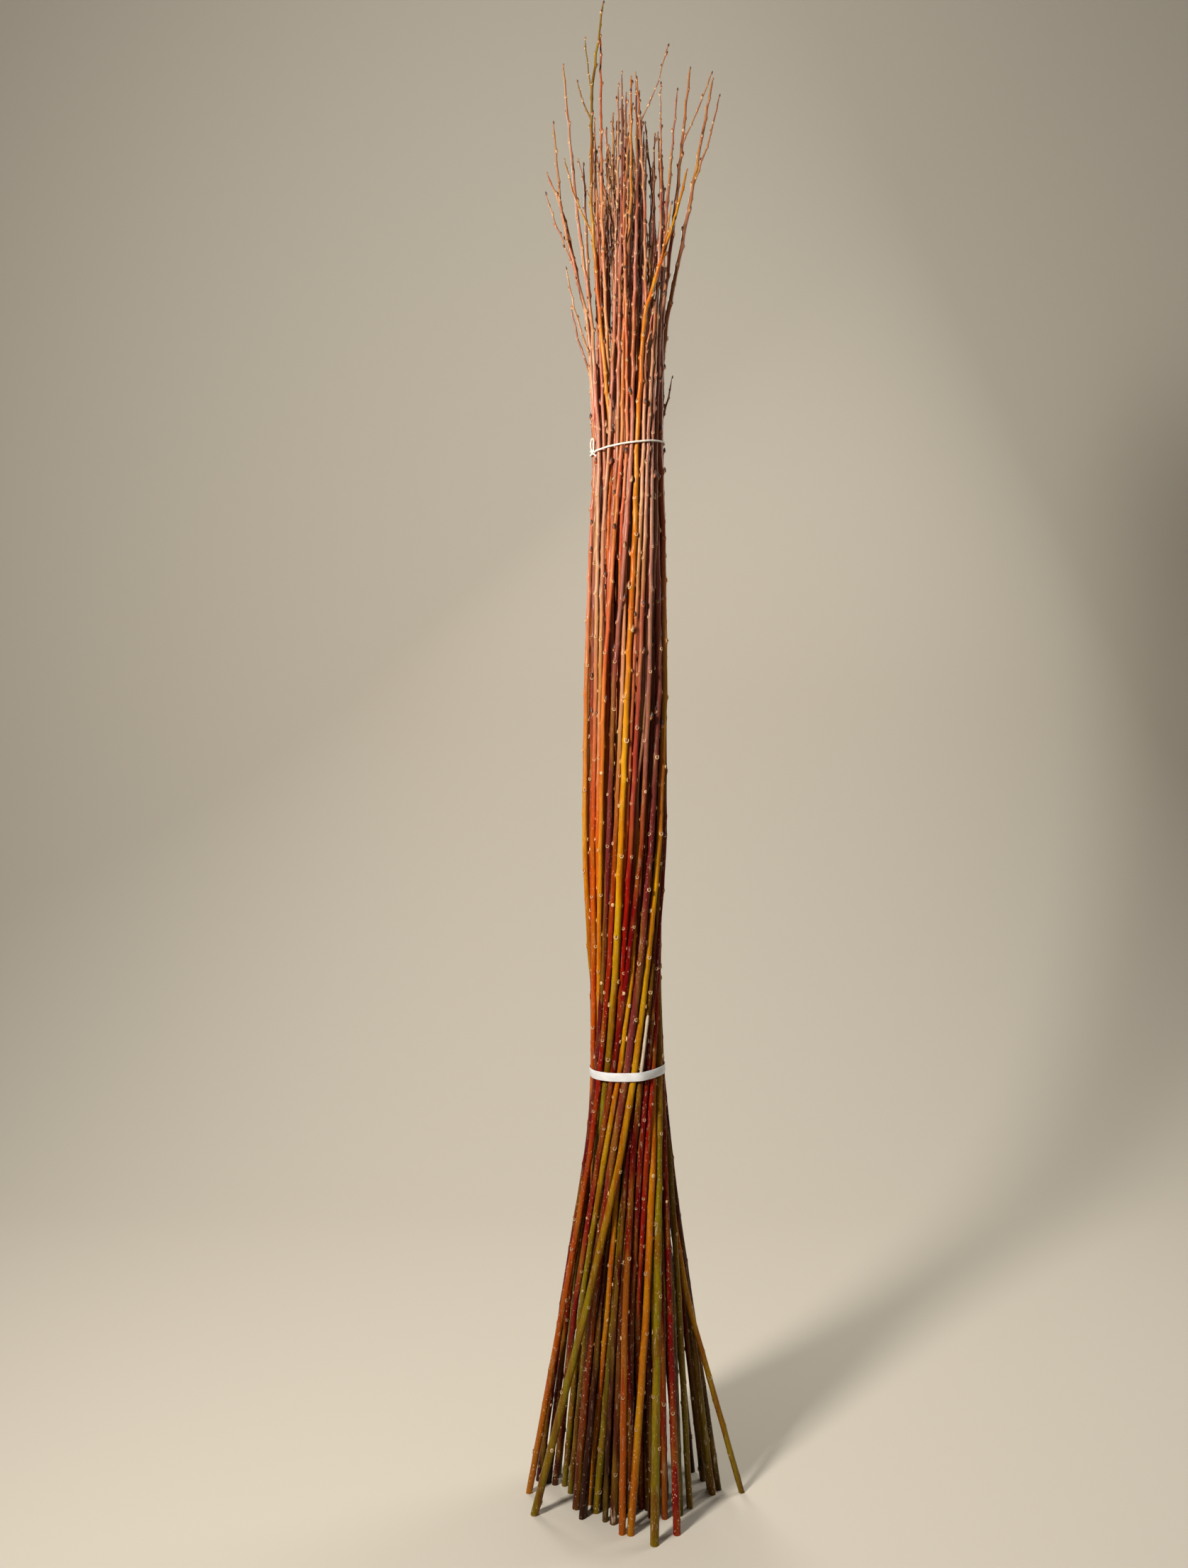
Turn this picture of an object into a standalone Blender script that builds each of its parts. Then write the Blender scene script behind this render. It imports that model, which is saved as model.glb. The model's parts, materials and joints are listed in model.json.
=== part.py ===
"""A tied bundle of willow rods, upright on its fanned butt ends.

Each rod is one tapered solid with a point at every height in LEVELS. Where a rod shows from the
front, its course is drawn there; elsewhere it follows from the turn of the whole bundle. The
rods are then eased apart until none overlaps, and the strap and the twine are laid tight round
them. Metres, +Z up, +Y away from the front.
"""

import math
import random

import bmesh
import bpy
import numpy as np
from mathutils import Vector

# Sizes of the whole bundle
HEIGHT = 2.135
ROD_COUNT = 57
MIDDLE_RODS = 8
GAP = 0.0004
SEED = 11

# Ties
STRAP_HEIGHT = 0.619
STRAP_WIDTH = 0.012
STRAP_THICKNESS = 0.0008
STRAP_SLOPE = 0.054
TWINE_HEIGHT = 1.508
TWINE_RADIUS = 0.0014
TWINE_SLOPE = 0.15
KNOT_RADIUS = 0.0034
KNOT_BEARING = 192
SLIP_LOOP_HEIGHT = 0.019
SLIP_LOOP_WIDTH = 0.0045
SLIP_LOOP_RADIUS = 0.0010
TWINE_ENDS = ((0.010, 0.002), (0.008, -0.007))

# Peeled stick: radius, and its two ends as (right of the axis, height)
STICK_RADIUS = 0.0022
STICK_FOOT = (0.0165, 0.614)
STICK_TOP = (0.0280, 0.705)

# Heights at which every rod has a point
LEVELS = (0.0, 0.29, 0.50, 0.62, 0.77, 0.94, 1.17, 1.39, 1.51, 1.69, 1.84, 2.0, HEIGHT)
FREE_LEVEL = 10
TWINE_LEVEL = 8

# The bundle's outline: height, radius, how far its middle lies to the right (millimetres)
OUTLINE = (
    (0.00, 134, 0), (0.29, 92, -3), (0.40, 78, 0), (0.50, 64, 1), (0.62, 53.5, 0),
    (0.70, 52, -2), (0.77, 54, -4), (0.86, 59.5, -4), (0.94, 61.5, -4), (1.17, 62, -2),
    (1.28, 60, 0), (1.39, 55.5, 0), (1.51, 52, 0), (1.62, 54, -1), (1.69, 60, -1),
    (1.84, 79, 0), (2.00, 92, 4), (HEIGHT, 96, 4),
)
HELD_HEIGHTS = (0.45, 1.65)
FLANK = 0.985

# How strongly a rod is drawn to its guide, to the side and in depth
DRAWN_PULL = (0.35, 0.12)
TIP_PULL = (0.35, 0.05)
FOOT_PULL = (0.5, 0.5)
LOOSE_PULL = (0.02, 0.02)
TIP_RETURN = 0.3

# How far the front and the back of the bundle are turned at each height, in degrees from above
FRONT_TURN = (
    (0.00, -75), (0.29, -46), (0.50, -14), (0.62, 0), (0.77, 25), (0.94, 35), (1.51, 45), (HEIGHT, 52),
)
BACK_TURN = (
    (0.00, -10), (0.29, -9), (0.50, -5), (0.62, 0), (0.77, 16), (0.94, 24), (1.51, 32), (HEIGHT, 36),
)
BACK_BEARINGS = (22, 168)

# A rod's thickness along its length, as a share of its butt
TAPER = ((0.0, 1.0), (0.30, 0.84), (0.48, 0.74), (0.71, 0.60), (0.87, 0.48), (0.95, 0.36), (1.0, 0.22))
BACK_BUTTS = (0.0090, 0.0125)
MIDDLE_BUTTS = (0.0105, 0.0135)
TOP_SPREAD = (0.35, 0.9)
HIDDEN_TIP_HEIGHTS = (1.84, 2.03)
ROD_ROUNDNESS = 1
SHOOT_ROUNDNESS = 0
LEAST_TIP_STEP = 0.01
FLOOR_DIP = 0.012

# Side shoots that grow by rule
SHOOT_STARTS = (0.80, 0.93)
SHOOT_LENGTHS = (0.05, 0.13)
SHOOT_LEANS = (0.14, 0.38)
SHOOT_SHARE = 0.62
SHOOT_TIP_RADIUS = 0.0008
SHOOT_FOOT_RADIUS = 0.0017

# Bark colours (linear red, green, blue)
BARKS = {
    "yellow": (0.53, 0.28, 0.01),
    "olive": (0.27, 0.21, 0.01),
    "orange": (0.50, 0.13, 0.015),
    "red_orange": (0.40, 0.05, 0.012),
    "crimson": (0.20, 0.012, 0.012),
    "maroon": (0.07, 0.008, 0.010),
    "purple": (0.16, 0.045, 0.05),
    "brown": (0.13, 0.04, 0.012),
}
PEELED_WOOD = (0.55, 0.42, 0.28)
STRAP_WHITE = (0.72, 0.72, 0.73)
TWINE_WHITE = (0.85, 0.83, 0.78)

# How far out in the bundle a rod runs where the front doesn't show it, 1 being its outside
INSIDE = 0.60
ROUND = 0.97
MIDDLE = (0.25, 0.45)

# The rods that show from the front: bark, butt diameter, foot (right, back), depth while hidden,
# the first of LEVELS at which it shows, how far right of the axis it runs from that level up, and
# its tip (right, height). Millimetres, but the tip's height in metres. A foot of None is hidden.
FRONT_RODS = (
    ("yellow", 11.5, (-132, -41), ROUND, 1, (-57, -8, 9, 28, 45, 55, 53, 50, 57, 67), (89, 2.05)),
    ("purple", 12.5, (-69, -25), ROUND, 1, (-47, -22, -1, 19, 32, 46, 49, 48, 58, 86), (123, 2.04)),
    ("yellow", 9.5, (-91, 38), INSIDE, 1, (-66, -31, -11, 7), (4, 1.99)),
    ("crimson", 9.5, (-105, 41), INSIDE, 1, (-75, -39, -20, 0, 20, 31, 33, 35, 43, 47), (46, 1.97)),
    ("red_orange", 10.0, (-142, 18), INSIDE, 1, (-88, -51, -37, -25, -17, -7), (-3, 1.93)),
    ("maroon", 10.0, (-129, 53), INSIDE, 1, (-91, -58, -44, -32, -28, -22, 0, 6, 8, 13), (11, 2.02)),
    ("olive", 13.0, None, INSIDE, 3, (-29, -17, -12, -1, 11, 14, 22, 73), (86, 1.90)),
    ("orange", 9.5, None, ROUND, 3, (-51, -50, -50, -45, -43, -41, -53, -73, -88), (-93, 2.06)),
    ("yellow", 9.5, None, ROUND, 4, (-56, -64, -60, -52, -49, -68, -98), (-108, 1.98)),
    ("yellow", 9.5, None, INSIDE, 4, (-41, -40, -36, -18, -6, -7, 3), (2, 2.02)),
    ("orange", 9.0, None, INSIDE, 5, (-45, -39, -36, -28, -20, -14), (-14, 2.01)),
    ("red_orange", 10.5, None, INSIDE, 4, (-9, 2, 16, 25, 28, 39, 50), (44, 1.76)),
    ("orange", 9.0, None, INSIDE, 5, (-4, 6, 18, 21, 23, 24, 15), (11, 2.02)),
    ("brown", 9.0, None, INSIDE, 6, (23,), (27, 1.95)),
    ("crimson", 10.5, (-9, -90), ROUND, 1, (-7, 6, 18, 35, 51), (60, 1.93)),
    ("crimson", 10.0, (3, -45), ROUND, 1, (1, 17, 26, 40, 54), (50, 1.97)),
    ("red_orange", 9.5, (19, -24), ROUND, 1, (9, 26, 34, 46), (30, 1.99)),
    ("orange", 11.0, (2, -92), INSIDE, 1, (26, 36, 40), (20, 1.96)),
    ("olive", 12.5, (34, -117), ROUND, 1, (40, 43, 45), (15, 1.90)),
    ("crimson", 11.0, (66, -91), ROUND, 1, (57, 53, 50), (5, 2.00)),
    ("olive", 9.5, (88, -23), INSIDE, 1, (72, 60), (35, 1.93)),
    ("maroon", 10.5, (123, 14), ROUND, 1, (84, 60), (-20, 1.97)),
    ("yellow", 9.0, (166, 19), ROUND, 1, (80,), (-30, 1.95)),
    ("orange", 9.0, (-58, -13), INSIDE, 1, (-31,), (8, 1.94)),
    ("olive", 11.0, (-45, -35), INSIDE, 1, (-21,), (14, 1.90)),
    ("brown", 11.0, (-21, -64), INSIDE, 1, (-11,), (22, 1.93)),
    ("red_orange", 9.5, (51, -51), INSIDE, 1, (48,), (30, 1.90)),
    ("brown", 10.0, (-81, 18), INSIDE, 1, (-58,), (-12, 1.92)),
    ("maroon", 10.0, (73, -42), INSIDE, 1, (64,), (25, 1.98)),
    ("brown", 9.5, (133, 27), ROUND, 1, (87,), (-25, 1.93)),
    ("orange", 9.5, None, INSIDE, 7, (-31, -20, -43, -54, -54), (-34, HEIGHT)),
    ("purple", 9.0, None, INSIDE, 7, (-23, -14, -13, -8), (-9, 2.03)),
    ("orange", 8.5, None, INSIDE, 7, (-10, -1, -4, -9), (8, 1.99)),
    ("olive", 8.5, None, ROUND, 9, (-63, -84), (-116, 1.91)),
    ("purple", 8.5, None, INSIDE, 9, (-42, -44), (-48, 1.97)),
    ("orange", 9.0, None, INSIDE, 9, (-34, -38), (-39, 2.09)),
    ("purple", 9.0, None, INSIDE, 7, (42, 42, 49, 53), (70, 2.01)),
)

# Where rods cross: rod, one of LEVELS, how far forward it is brought there in millimetres
CROSSINGS = (
    (1, 1, 9), (1, 2, 3), (2, 1, -9), (2, 2, -10), (7, 9, 9), (7, 10, 34),
    (12, 9, -12), (12, 10, -12), (13, 9, -10), (13, 10, -6),
)

# Shoots that show at the top: rod, the height at which it leaves the rod, its tip (right in
# millimetres, height)
SHOWN_SHOOTS = (
    (9, 1.79, (-118, 1.87)),
    (9, 1.80, (-99, 1.875)),
    (31, 1.955, (-72, 2.01)),
    (31, 2.00, (-61, 2.085)),
    (13, 1.955, (56, 2.065)),
    (2, 1.89, (132, 2.015)),
    (1, 1.955, (118, 2.03)),
    (4, 1.90, (47, 2.035)),
)


class Rod:
    """One rod: its bark and thickness, its guide to lie along, and its course once it is eased."""

    def __init__(self, bark, butt, depth, turn, tip_height):
        self.bark = bark
        self.butt = butt
        self.depth = depth
        self.turn = turn
        self.tip_height = tip_height
        self.places = np.zeros((len(LEVELS), 2))
        self.pull = np.tile(LOOSE_PULL, (len(LEVELS), 1))

    def radius(self, height):
        """Radius at a height; zero above the tip."""
        share = height / self.tip_height
        if share > 1.0001:
            return 0.0
        return 0.5 * self.butt * along(TAPER, share)

    def at(self, height):
        """Centre of the rod at a height."""
        x = np.interp(height, LEVELS, self.places[:, 0])
        y = np.interp(height, LEVELS, self.places[:, 1])
        return Vector((x, y, height))


def along(rows, position, column=1):
    """Reads a value off one of the tables."""
    return float(np.interp(position, [row[0] for row in rows], [row[column] for row in rows]))


def outline_radius(height):
    return along(OUTLINE, height) / 1000.0


def outline_drift(height):
    return along(OUTLINE, height, 2) / 1000.0


def bearing_point(rod, bearing, height, depth):
    """A place at a bearing round the bundle; depth 1 touches the outline, 0 is the middle."""
    reach = depth * (outline_radius(height) - rod.radius(height))
    x = outline_drift(height) + reach * math.cos(bearing)
    return x, reach * math.sin(bearing)


def front_point(rod, x, height):
    """A place on the front of the outline, x metres right of the axis."""
    reach = outline_radius(height) - rod.radius(height)
    offset = max(-FLANK, min(FLANK, (x - outline_drift(height)) / reach))
    return x, -reach * math.sqrt(1.0 - offset * offset)


def unturned_bearing(rod, level):
    """The bearing of a rod at a level, less the turn of the bundle there."""
    x, y = rod.places[level]
    bearing = math.atan2(y, x - outline_drift(LEVELS[level]))
    return bearing - math.radians(along(rod.turn, LEVELS[level]))


def fill_hidden(rod, levels, bearing):
    """Lets a rod follow the bundle's turn at the levels that the front doesn't show."""
    for level in levels:
        turned = bearing + math.radians(along(rod.turn, LEVELS[level]))
        rod.places[level] = bearing_point(rod, turned, LEVELS[level], rod.depth)


def aim_top(rod, last, tip_x):
    """Runs a rod straight from its last guided level to its tip, leaning back to the middle."""
    start = rod.places[last].copy()
    rise = rod.tip_height - LEVELS[last]
    for level in range(last + 1, len(LEVELS)):
        share = (LEVELS[level] - LEVELS[last]) / rise
        back = start[1] * (1.0 - TIP_RETURN * min(share, 1.5))
        rod.places[level] = (start[0] + share * (tip_x - start[0]), back)
        rod.pull[level] = TIP_PULL


def front_rods():
    """The rods of the table, each with its guide."""
    rods = []
    for bark, butt, foot, depth, first, course, tip in FRONT_RODS:
        rod = Rod(bark, butt / 1000.0, depth, FRONT_TURN, tip[1])
        last = first + len(course) - 1
        for level, x in enumerate(course, first):
            rod.places[level] = front_point(rod, x / 1000.0, LEVELS[level])
            rod.pull[level] = DRAWN_PULL
        fill_hidden(rod, range(first), unturned_bearing(rod, first))
        fill_hidden(rod, range(last + 1, FREE_LEVEL + 1), unturned_bearing(rod, last))
        if foot:
            rod.places[0] = (foot[0] / 1000.0, foot[1] / 1000.0)
            rod.pull[0] = FOOT_PULL
        for number, level, forward in CROSSINGS:
            if number == len(rods) + 1:
                rod.places[level] -= (0.0, forward / 1000.0)
        aim_top(rod, max(last, FREE_LEVEL), tip[0] / 1000.0)
        rods.append(rod)
    return rods


def hidden_rods(count, rng):
    """The rods of the back and of the middle, spread evenly by bearing at the strap."""
    names = list(BARKS)
    back_count = count - MIDDLE_RODS
    rods = []
    for index in range(count):
        is_back = index < back_count
        share = index / (back_count - 1) if is_back else (index - back_count) / MIDDLE_RODS
        first, last = BACK_BEARINGS if is_back else (0, 360)
        bearing = math.radians(first + (last - first) * share)
        butt = rng.uniform(*(BACK_BUTTS if is_back else MIDDLE_BUTTS))
        bark = names[(3 * index + index // 5) % len(names)]
        depth = ROUND if is_back else MIDDLE[index % 2]
        rod = Rod(bark, butt, depth, BACK_TURN, rng.uniform(*HIDDEN_TIP_HEIGHTS))
        fill_hidden(rod, range(len(LEVELS)), bearing)
        spread = rng.uniform(*TOP_SPREAD)
        for level in range(TWINE_LEVEL + 1, len(LEVELS)):
            rod.places[level] *= spread
        rods.append(rod)
    return rods


def mix_levels(steps=6):
    """The matrix that turns places at the levels into places at closer heights, and those heights."""
    heights = []
    for low, high in zip(LEVELS, LEVELS[1:]):
        heights += [low + (high - low) * step / steps for step in range(steps)]
    heights = np.array(heights + [LEVELS[-1]])
    mix = np.array([np.interp(heights, LEVELS, unit) for unit in np.eye(len(LEVELS))]).T
    return mix, heights


def ease_apart(rods, rounds=900, clearance=0.0011):
    """Moves the rods until they clear one another, within the outline and near their guides."""
    mix, heights = mix_levels()
    hand_back = mix.T / (mix ** 2).sum(axis=0)[:, None]
    radii = np.array([[rod.radius(height) for height in heights] for rod in rods])
    apart = radii[:, None] + radii[None] + clearance
    both = (radii[:, None] > 0) & (radii[None] > 0)
    both[np.arange(len(rods)), np.arange(len(rods))] = False
    bound = np.array([outline_radius(height) for height in heights])
    middle = np.array([(outline_drift(height), 0.0) for height in heights])
    held = (heights > HELD_HEIGHTS[0]) & (heights < HELD_HEIGHTS[1])
    home = np.array([rod.places for rod in rods])
    pull = np.array([rod.pull for rod in rods])
    now = home.copy()
    for turn in range(rounds):
        ease = max(0.0, 1.0 - turn / (0.7 * rounds))
        fine = np.einsum("sk,nkd->nsd", mix, now)
        away = fine[:, None] - fine[None]
        distance = np.sqrt((away ** 2).sum(axis=3)) + 1e-9
        push = np.where(both, np.maximum(0.0, apart - distance), 0.0)
        shift = 0.45 * (away * (push / distance)[..., None]).sum(axis=1)
        offset = fine - middle
        reach = np.sqrt((offset ** 2).sum(axis=2)) + 1e-9
        over = np.where(held, np.maximum(0.0, reach + radii - bound), 0.0)
        shift -= 0.5 * offset * (over / reach)[..., None]
        now += np.einsum("ks,nsd->nkd", hand_back, shift)
        now += 0.25 * ease * pull * (home - now)
        now[:, 1:-1] += 0.03 * ease * (0.5 * (now[:, :-2] + now[:, 2:]) - now[:, 1:-1])
    for rod, places in zip(rods, now):
        rod.places = places


def rod_path(rod):
    """Centre points and radii of a rod, from just under the floor to its tip."""
    heights = [height for height in LEVELS if height < rod.tip_height - LEAST_TIP_STEP]
    points = [rod.at(height) for height in heights + [rod.tip_height]]
    radii = [rod.radius(height) for height in heights + [rod.tip_height]]
    lean = (points[1] - points[0]) / (points[1].z - points[0].z)
    points[0] = points[0] - lean * FLOOR_DIP
    return points, radii


def shoot_path(rod, start, tip):
    """Centre points and radii of a side shoot, curving up from the rod to its tip."""
    foot = rod.at(start)
    bend = foot.lerp(tip, 0.5) + Vector((tip.x - foot.x, tip.y - foot.y, 0)) * 0.12
    radius = min(SHOOT_SHARE * rod.radius(start), SHOOT_FOOT_RADIUS)
    return [foot, bend, tip], [radius, 0.75 * radius, SHOOT_TIP_RADIUS]


def sample(path, radii, count=14):
    """Even points along a path with their radii."""
    shares = np.linspace(0, 1, count)
    knots = np.linspace(0, 1, len(path))
    columns = [np.interp(shares, knots, [point[axis] for point in path]) for axis in range(3)]
    return np.stack(columns, axis=1), np.interp(shares, knots, radii)


def is_clear(path, radii, own, rods, placed, margin=0.0014):
    """Whether a shoot keeps clear of every other rod and of the shoots already placed."""
    points, sizes = sample(path, radii)
    for point, size in zip(points, sizes):
        for rod in rods:
            if rod is own or point[2] > rod.tip_height + 0.004:
                continue
            centre = rod.at(min(point[2], rod.tip_height))
            room = rod.radius(min(point[2], rod.tip_height)) + size + margin
            if math.hypot(point[0] - centre.x, point[1] - centre.y) < room:
                return False
    for other_points, other_sizes in placed:
        distances = np.sqrt(((points[:, None] - other_points[None]) ** 2).sum(axis=2))
        if (distances < sizes[:, None] + other_sizes[None] + 0.005).any():
            return False
    return True


def grow_shoots(rods, rng):
    """Side shoots by rod number: those that show at the top, and others by rule where they fit."""
    shoots = {number: [] for number in range(1, len(rods) + 1)}
    placed = []
    wanted = [(number, start, tip) for number, start, tip in SHOWN_SHOOTS]
    wanted += [(number, None, None) for number in range(1, len(rods) + 1, 2)]
    for number, start, tip in wanted:
        rod = rods[number - 1]
        for attempt in range(60):
            if start is None:
                leave = rod.tip_height * rng.uniform(*SHOOT_STARTS)
                length = rng.uniform(*SHOOT_LENGTHS)
                lean = rng.uniform(*SHOOT_LEANS) * length
                heading = rng.uniform(0, 2 * math.pi)
                end = rod.at(leave) + Vector((lean * math.cos(heading), lean * math.sin(heading), length))
            else:
                leave = start + rng.uniform(-0.01, 0.01)
                end = Vector((tip[0] / 1000.0, rod.at(leave).y + rng.uniform(-0.05, 0.05), tip[1]))
            path, radii = shoot_path(rod, leave, end)
            if is_clear(path, radii, rod, rods, placed):
                shoots[number].append((path, radii))
                placed.append(sample(path, radii))
                break
    return shoots


def circle_points(centre, radius, count=10):
    """A polygon that just holds a circle, for the outline of what a tie goes round."""
    reach = radius / math.cos(math.pi / count)
    turns = [2 * math.pi * step / count for step in range(count)]
    return [(centre[0] + reach * math.cos(turn), centre[1] + reach * math.sin(turn)) for turn in turns]


def taut_outline(points):
    """The loop that a tight tie takes round the points, turning left."""
    points = sorted(set(points))
    loop = []
    for half in (points, points[::-1]):
        side = []
        for point in half:
            while len(side) > 1:
                (ax, ay), (bx, by) = side[-2:]
                if (bx - ax) * (point[1] - ay) - (by - ay) * (point[0] - ax) > 1e-12:
                    break
                side.pop()
            side.append(point)
        loop += side[:-1]
    return loop


def tie_outline(rods, height, slope, offsets, standoff, also=()):
    """The taut loop in a sloping plane, as (right along the slope, back), round the rods and also."""
    tilt = math.atan(slope)
    points = []
    for rod in rods:
        for offset in offsets:
            level = height
            for _ in range(3):
                level = height + (offset + rod.at(level).x * math.sin(tilt)) / math.cos(tilt)
            place = rod.at(level)
            centre = (place.x * math.cos(tilt) + (level - height) * math.sin(tilt), place.y)
            points += circle_points(centre, rod.radius(level) + standoff)
    for place, radius in also:
        points += circle_points((place.x, place.y), radius + standoff)
    return taut_outline(points)


def lay_stick(rods):
    """Both ends of the peeled stick, as far back as the rods behind it allow."""
    stick = []
    for x, height in (STICK_FOOT, STICK_TOP):
        stick.append(Vector((x, -outline_radius(height), height)))
    for _ in range(200):
        moved = [Vector((end.x, end.y + 0.0002, end.z)) for end in stick]
        for index, end in enumerate(moved):
            trial = [end if place == index else stick[place] for place in (0, 1)]
            if all(stick_clears(trial, rod) for rod in rods):
                stick = trial
    return stick


def stick_clears(stick, rod):
    """Whether the stick keeps its gap from one rod all along."""
    for step in range(9):
        place = stick[0].lerp(stick[1], step / 8)
        centre = rod.at(place.z)
        room = rod.radius(place.z) + STICK_RADIUS + GAP
        if math.hypot(place.x - centre.x, place.y - centre.y) < room:
            return False
    return True


def make_material(name, colour, roughness):
    material = bpy.data.materials.new(name)
    material.use_nodes = True
    shader = material.node_tree.nodes["Principled BSDF"]
    shader.inputs["Base Color"].default_value = (*colour, 1.0)
    shader.inputs["Roughness"].default_value = roughness
    shader.inputs["Metallic"].default_value = 0.0
    return material


def make_collection(name):
    collection = bpy.data.collections.new(name)
    bpy.context.scene.collection.children.link(collection)
    return collection


def with_bmesh(target, action):
    """Runs one bmesh action on an object's mesh."""
    work = bmesh.new()
    work.from_mesh(target.data)
    action(work)
    work.to_mesh(target.data)
    work.free()


def mesh_of(name, curve, collection):
    """Turns a curve into a mesh object of the collection."""
    source = bpy.data.objects.new(name + "_curve", curve)
    collection.objects.link(source)
    bpy.context.view_layer.update()
    evaluated = source.evaluated_get(bpy.context.evaluated_depsgraph_get())
    shaped = bpy.data.objects.new(name, bpy.data.meshes.new_from_object(evaluated))
    shaped.matrix_world = source.matrix_world
    collection.objects.link(shaped)
    bpy.data.objects.remove(source)
    with_bmesh(shaped, lambda work: bmesh.ops.remove_doubles(work, verts=work.verts, dist=0.00001))
    return shaped


def tube(name, points, radii, roundness, collection, closed=False):
    """A tapered tube along the points, made a closed mesh."""
    curve = bpy.data.curves.new(name, "CURVE")
    curve.dimensions = "3D"
    curve.bevel_depth = 1.0
    curve.bevel_resolution = roundness
    curve.use_fill_caps = not closed
    spline = curve.splines.new("POLY")
    spline.points.add(len(points) - 1)
    for point, place, radius in zip(spline.points, points, radii):
        point.co = (*place, 1.0)
        point.radius = radius
    spline.use_cyclic_u = closed
    return mesh_of(name, curve, collection)


def cut_level(work):
    """Cuts a rod off flat where it meets the floor."""
    everything = work.verts[:] + work.edges[:] + work.faces[:]
    bmesh.ops.bisect_plane(work, geom=everything, plane_co=(0, 0, 0), plane_no=(0, 0, 1), clear_inner=True)
    rim = [edge for edge in work.edges if edge.is_boundary]
    bmesh.ops.holes_fill(work, edges=rim)


def join(target, extra):
    """Grows one piece onto another with a Boolean union; the second stays as a hidden cutter."""
    extra.hide_render = True
    extra.display_type = "WIRE"
    union = target.modifiers.new("union_" + extra.name, "BOOLEAN")
    union.operation = "UNION"
    union.object = extra


def finish(target, material):
    target.data.materials.append(material)
    target.data.shade_smooth()
    target.data.set_sharp_from_angle(angle=math.radians(50))


def build_rods(rods, shoots, barks, parts, cutters):
    for number, rod in enumerate(rods, 1):
        name = f"rod_{number:02d}"
        points, radii = rod_path(rod)
        solid = tube(name, points, radii, ROD_ROUNDNESS, parts)
        with_bmesh(solid, cut_level)
        finish(solid, barks[rod.bark])
        for index, (path, sizes) in enumerate(shoots[number]):
            join(solid, tube(f"{name}_shoot_{index}", path, sizes, SHOOT_ROUNDNESS, cutters))


def ribbon(name, loop, width, collection):
    """A closed ribbon standing on the loop, as an open mesh."""
    curve = bpy.data.curves.new(name, "CURVE")
    curve.dimensions = "2D"
    curve.fill_mode = "NONE"
    curve.extrude = width / 2
    spline = curve.splines.new("POLY")
    spline.points.add(len(loop) - 1)
    for point, (x, y) in zip(spline.points, loop):
        point.co = (x, y, 0.0, 1.0)
    spline.use_cyclic_u = True
    return mesh_of(name, curve, collection)


def build_strap(rods, stick, material, parts):
    """The flat strap: a ribbon pulled tight round the rods, with its thickness outwards."""
    edges = (-STRAP_WIDTH / 2, 0.0, STRAP_WIDTH / 2)
    foot, top = stick
    held = [(foot.lerp(top, share), STICK_RADIUS) for share in (0.0, 0.15)]
    loop = tie_outline(rods, STRAP_HEIGHT, STRAP_SLOPE, edges, GAP, held)
    strap = ribbon("strap", loop, STRAP_WIDTH, parts)
    strap.location = (0, 0, STRAP_HEIGHT)
    strap.rotation_euler = (0, -math.atan(STRAP_SLOPE), 0)
    thicken = strap.modifiers.new("thickness", "SOLIDIFY")
    thicken.thickness = STRAP_THICKNESS
    thicken.offset = 1.0
    finish(strap, material)


def outward(bearing):
    return Vector((math.cos(bearing), math.sin(bearing), 0.0))


def meet_loop(path, bearing):
    """Where a closed path crosses a bearing from the axis."""
    ahead = outward(bearing)
    aside = outward(bearing + math.pi / 2)
    for start, end in zip(path, path[1:] + path[:1]):
        first = start.dot(aside)
        second = end.dot(aside)
        if first <= 0.0 < second and start.dot(ahead) > 0.0:
            return start.lerp(end, first / (first - second))
    return path[0]


def build_twine(rods, material, parts, cutters):
    """The thin twine, tied at one side with a knot, a slip loop and two short ends."""
    tilt = math.atan(TWINE_SLOPE)
    standoff = TWINE_RADIUS + GAP
    loop = tie_outline(rods, TWINE_HEIGHT, TWINE_SLOPE, (-TWINE_RADIUS, TWINE_RADIUS), standoff)
    path = [Vector((x * math.cos(tilt), y, TWINE_HEIGHT + x * math.sin(tilt))) for x, y in loop]
    twine = tube("twine", path, [TWINE_RADIUS] * len(path), ROD_ROUNDNESS, parts, closed=True)
    bearing = math.radians(KNOT_BEARING)
    out = outward(bearing)
    aside = outward(bearing + math.pi / 2)
    centre = meet_loop(path, bearing) + out * (KNOT_RADIUS - TWINE_RADIUS)
    bpy.ops.mesh.primitive_uv_sphere_add(segments=10, ring_count=6, radius=KNOT_RADIUS, location=centre)
    knot = bpy.context.active_object
    knot.name = "knot"
    for collection in list(knot.users_collection):
        collection.objects.unlink(knot)
    cutters.objects.link(knot)
    join(twine, knot)
    rise = []
    for step in range(9):
        turn = math.pi * step / 8
        across = aside * (-0.5 * SLIP_LOOP_WIDTH * math.cos(turn))
        rise.append(centre + across + Vector((0, 0, SLIP_LOOP_HEIGHT * math.sin(turn))) + out * 0.0008)
    join(twine, tube("slip_loop", rise, [SLIP_LOOP_RADIUS] * len(rise), 0, cutters))
    for index, (along_side, drop) in enumerate(TWINE_ENDS):
        bend = centre + aside * (0.5 * along_side) + out * 0.0014 + Vector((0, 0, 0.3 * drop))
        end = centre + aside * along_side + out * 0.0022 + Vector((0, 0, drop))
        tail = tube(f"twine_end_{index}", [centre, bend, end], [SLIP_LOOP_RADIUS] * 3, 0, cutters)
        join(twine, tail)
    finish(twine, material)


def build_stick(stick, material, parts):
    foot, top = stick
    shoulder = top.lerp(foot, 0.02)
    radii = [STICK_RADIUS, STICK_RADIUS, 0.6 * STICK_RADIUS]
    finish(tube("peeled_stick", [foot, shoulder, top], radii, ROD_ROUNDNESS, parts), material)


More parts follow.
